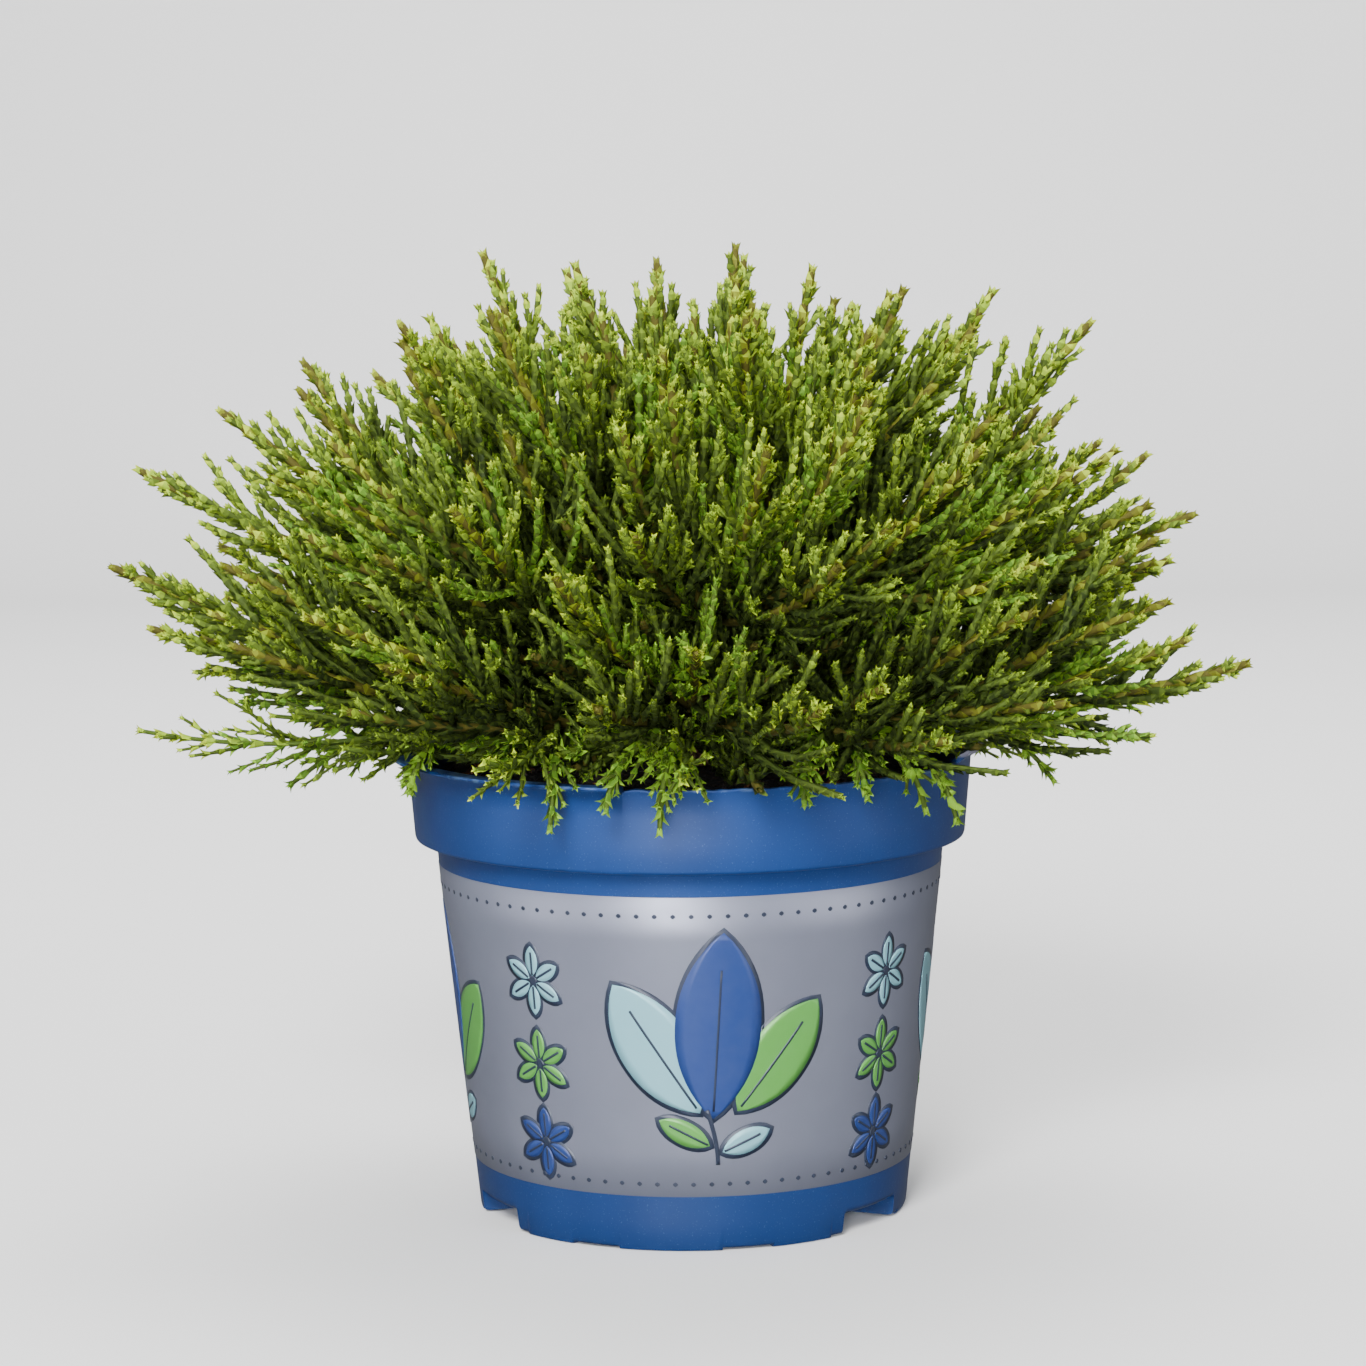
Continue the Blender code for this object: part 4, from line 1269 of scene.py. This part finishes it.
def outwardness(points):
    """0 deep inside the crown and 1 near its surface."""
    away = points - np.array(CENTRE)
    distance = np.linalg.norm(away, axis=1)
    level = np.linalg.norm(away[:, :2], axis=1) / distance
    reach = REACH_TOP + (REACH_SIDE - REACH_TOP) * level
    return np.clip((distance / reach - 0.4) / 0.5, 0, 1)


# each leaf's point takes the next paler class: partly the paler leaf tips, partly a painted highlight
PALER_TIP_AND_HIGHLIGHT = np.array([1, 2, 3, 4, 5, 5, 5, 6, 9, 9])
leaves, body_class = leaf_arrays(grown, SEED)
point_class = PALER_TIP_AND_HIGHLIGHT[body_class]
masses = [f"foliage_{name}" for name, _ in axes]
for number, (name, plain) in enumerate(LEAF_COLOURS.items()):
    finish = leaf_finish(name, plain)
    bodies, tips = leaves[body_class == number, :6], leaves[point_class == number, 3:]
    parts = math.ceil((len(bodies) * 4 + len(tips) * 2) / 190000)
    for part in range(parts):
        some, more = bodies[part::parts], tips[part::parts]
        points = np.concatenate([some.reshape(-1, 3), more.reshape(-1, 3)])
        faces = [
            (np.arange(len(some))[:, None, None] * 6 + BODY_FACES).reshape(-1, 3),
            (np.arange(len(more))[:, None, None] * 4 + POINT_FACES).reshape(-1, 3) + some.size // 3,
        ]
        label = f"leaves_{name}" + (f"_{part + 1}" if parts > 1 else "")
        mesh_piece(label, points, np.concatenate(faces), finish, masses)
    print(name, "leaf bodies and points:", len(bodies), len(tips))

# %% [markdown]
# Stems
#
# Under the leaves run the woody stems. They are thin closed tubes on the same curves, brown
# where the shoot is old and green towards its tip, so that gaps in the leaves show bark.


# %% Stems
def stem_arrays(curves, base, tip, segments, sides):
    """Closed tubes with a blunt pointed end, for many curves at once."""
    reference = unit(np.cross(curves[:, 2] - curves[:, 0], np.array([0.3, 0.5, 0.81])))
    rings = []
    for k in range(segments + 1):
        points, tangent = along(curves, np.full(len(curves), k / segments))
        across = unit(reference - (reference * tangent).sum(1, keepdims=True) * tangent)
        up = np.cross(tangent, across)
        radius = base + (tip - base) * k / segments
        for turn in np.arange(sides) * math.tau / sides:
            rings.append(points + radius * (math.cos(turn) * across + math.sin(turn) * up))
    rings.append(points + tip * tangent)
    last = segments * sides
    quads = grid_faces(segments + 1, sides, closed=True)
    ring = np.arange(sides)
    cap = np.stack([last + ring, last + (ring + 1) % sides, np.full(sides, last + sides)], axis=1)
    foot = np.array([(0, side + 1, side) for side in range(1, sides - 1)])
    one = np.concatenate([quads[:, [0, 1, 2]], quads[:, [0, 2, 3]], cap, foot])
    faces = np.arange(len(curves))[:, None, None] * len(rings) + one
    return np.stack(rings, axis=1).reshape(-1, 3), faces.reshape(-1, 3)


def stem_finish(name, plain):
    """Young bark, one plain colour with grain along it."""
    finish = Finish(name)
    finish.set(Base_Color=plain, Roughness=0.6 + 0.2 * finish.noise(500, 2))
    finish.set(Specular_IOR_Level=0.1)
    finish.bump(finish.noise(1200, 3), 0.0001, 0.6)
    return finish.material


STEM_LOOKS = {
    "stems_main": ((1,), ("plume", "leader", "inner"), colour(78, 74, 28), 8, 6),
    "stems_thin": ((1,), ("slender", "sprig", "skirt"), colour(70, 90, 30), 8, 5),
    "stems_side": ((2,), tuple(DRESSES), colour(66, 82, 28), 3, 4),
    "stems_twig": ((3, 4), tuple(DRESSES), colour(84, 106, 32), 2, 3),
}
for name, (orders, kinds, plain, segments, sides) in STEM_LOOKS.items():
    chosen = [shoot for shoot in grown if shoot[1] in orders and shoot[2] in kinds]
    curves = np.array([[tuple(p) for p in shoot[0]] for shoot in chosen])
    thick = [[LEAVES[shoot[1]].stem * DRESSES[shoot[2]].stem * MM] for shoot in chosen]
    ends = 0.95 * np.array(thick), 0.72 * np.array(thick)
    points, faces = stem_arrays(curves, *ends, segments, sides)
    mesh_piece(name, points, faces, stem_finish(name, plain), masses)
    print(name, "triangles:", len(faces))

# %% [markdown]
# Main stem and boughs
#
# The shrub stands on one short woody stem that forks at once into its boughs. Old bark has
# long ridges, which are pushed out of the mesh itself, so that they hold in any light.

# %% Main stem and boughs
BOUGH_BASE = 1.25
BOUGH_TIP = 1.1
STEM_FLARE = 9.0
STEM_WAIST = 5.4


def bark_finish():
    """Grey-brown bark with darker furrows."""
    finish = Finish("bark")
    furrow = finish.step(finish.noise(420, 4), 0.35, 0.65)
    finish.set(Base_Color=finish.blend(furrow, colour(66, 46, 32), colour(134, 104, 76)))
    finish.set(Roughness=0.85)
    finish.bump(finish.noise(1100, 4), 0.0003)
    return finish.material


def ridge(turn, height, lobes):
    """How much the bark stands out here, as a share of the radius."""
    spot = Vector((math.cos(turn) * 2.2, math.sin(turn) * 2.2, height * 60))
    return 1 + lobes * math.cos(3 * turn) + 0.06 * noise.noise(spot * 2.4)


def make_wood(axes, material):
    """The main stem and every bough as closed tubes with ridges."""
    points, faces = [], []

    def add_tube(rings):
        first = len(points)
        sides = len(rings[0])
        for ring in rings:
            points.extend(ring)
        faces.extend((grid_faces(len(rings), sides, closed=True) + first).tolist())
        for end in (0, len(rings) - 1):
            middle = sum((Vector(p) for p in rings[end]), Vector()) / sides
            points.append(tuple(middle))
            for side in range(sides):
                a, b = first + end * sides + side, first + end * sides + (side + 1) % sides
                faces.append((a, b, len(points) - 1, len(points) - 1))

    rings = []
    for height, radius, lobes in (
        (97.3, STEM_FLARE, 0.16), (97.8, STEM_FLARE * 0.86, 0.13), (98.4, STEM_FLARE * 0.74, 0.1),
        (99.6, STEM_WAIST, 0.03), (101.0, 5.6, 0.02), (103.5, 5.8, 0.02), (106.0, 4.5, 0), (107.6, 2.2, 0),
    ):
        ring = []
        for side in range(36):
            turn = math.tau * side / 36
            out = radius * ridge(turn, height * MM, lobes) * MM
            ring.append((out * math.cos(turn), out * math.sin(turn), height * MM))
        rings.append(ring)
    add_tube(rings)
    for _, axis in axes:
        run = bough_points(axis)
        rings = []
        for k, (point, across, up, _) in enumerate(frames(run, 0)):
            radius = (BOUGH_BASE + (BOUGH_TIP - BOUGH_BASE) * k / (len(run) - 1)) * MM
            ring = []
            for side in range(10):
                turn = math.tau * side / 10
                out = radius * ridge(turn, k * 4 * MM, 0)
                ring.append(tuple(point + out * (math.cos(turn) * across + math.sin(turn) * up)))
            rings.append(ring)
        add_tube(rings)
    return points, faces


wood_points, wood_faces = make_wood(axes, None)
triangles = []
for face in wood_faces:
    triangles.append(face[:3])
    if face[2] != face[3]:
        triangles.append([face[0], face[2], face[3]])
mesh_piece(
    "wood", wood_points, np.array(triangles), bark_finish(),
    ["main_stem", *(f"bough_{name}" for name, _ in axes)],
)
print("wood triangles:", len(triangles))

# %% [markdown]
# The floor
#
# The plant stands on a plain pale floor. A large plane with a very faint grain is enough.


# %% The floor
SWEEP_FROM = 1.4
SWEEP_RADIUS = 0.6


def make_floor():
    """A pale floor that sweeps up to a wall behind the plant."""
    finish = Finish("pale_floor")
    finish.set(Base_Color=finish.blend(finish.noise(6, 2), colour(246, 246, 246), colour(250, 250, 250)))
    finish.set(Roughness=0.9)
    finish.bump(finish.noise(300, 2), 0.0001, 0.2)
    profile = [(-6, 0)]
    for i in range(17):
        turn = math.pi / 2 * i / 16
        profile.append((SWEEP_FROM + SWEEP_RADIUS * math.sin(turn), SWEEP_RADIUS * (1 - math.cos(turn))))
    profile.append((SWEEP_FROM + SWEEP_RADIUS, 0.9))
    points = [(x, y, z) for y, z in profile for x in (-6, 6)]
    mesh = bpy.data.meshes.new("floor")
    mesh.from_pydata(points, [], grid_faces(len(profile), 2, closed=False).tolist())
    mesh.shade_smooth()
    mesh.materials.append(finish.material)
    floor = bpy.data.objects.new("floor", mesh)
    bpy.context.scene.collection.objects.link(floor)
    floor.visible_diffuse = False
    floor.visible_glossy = False


make_floor()
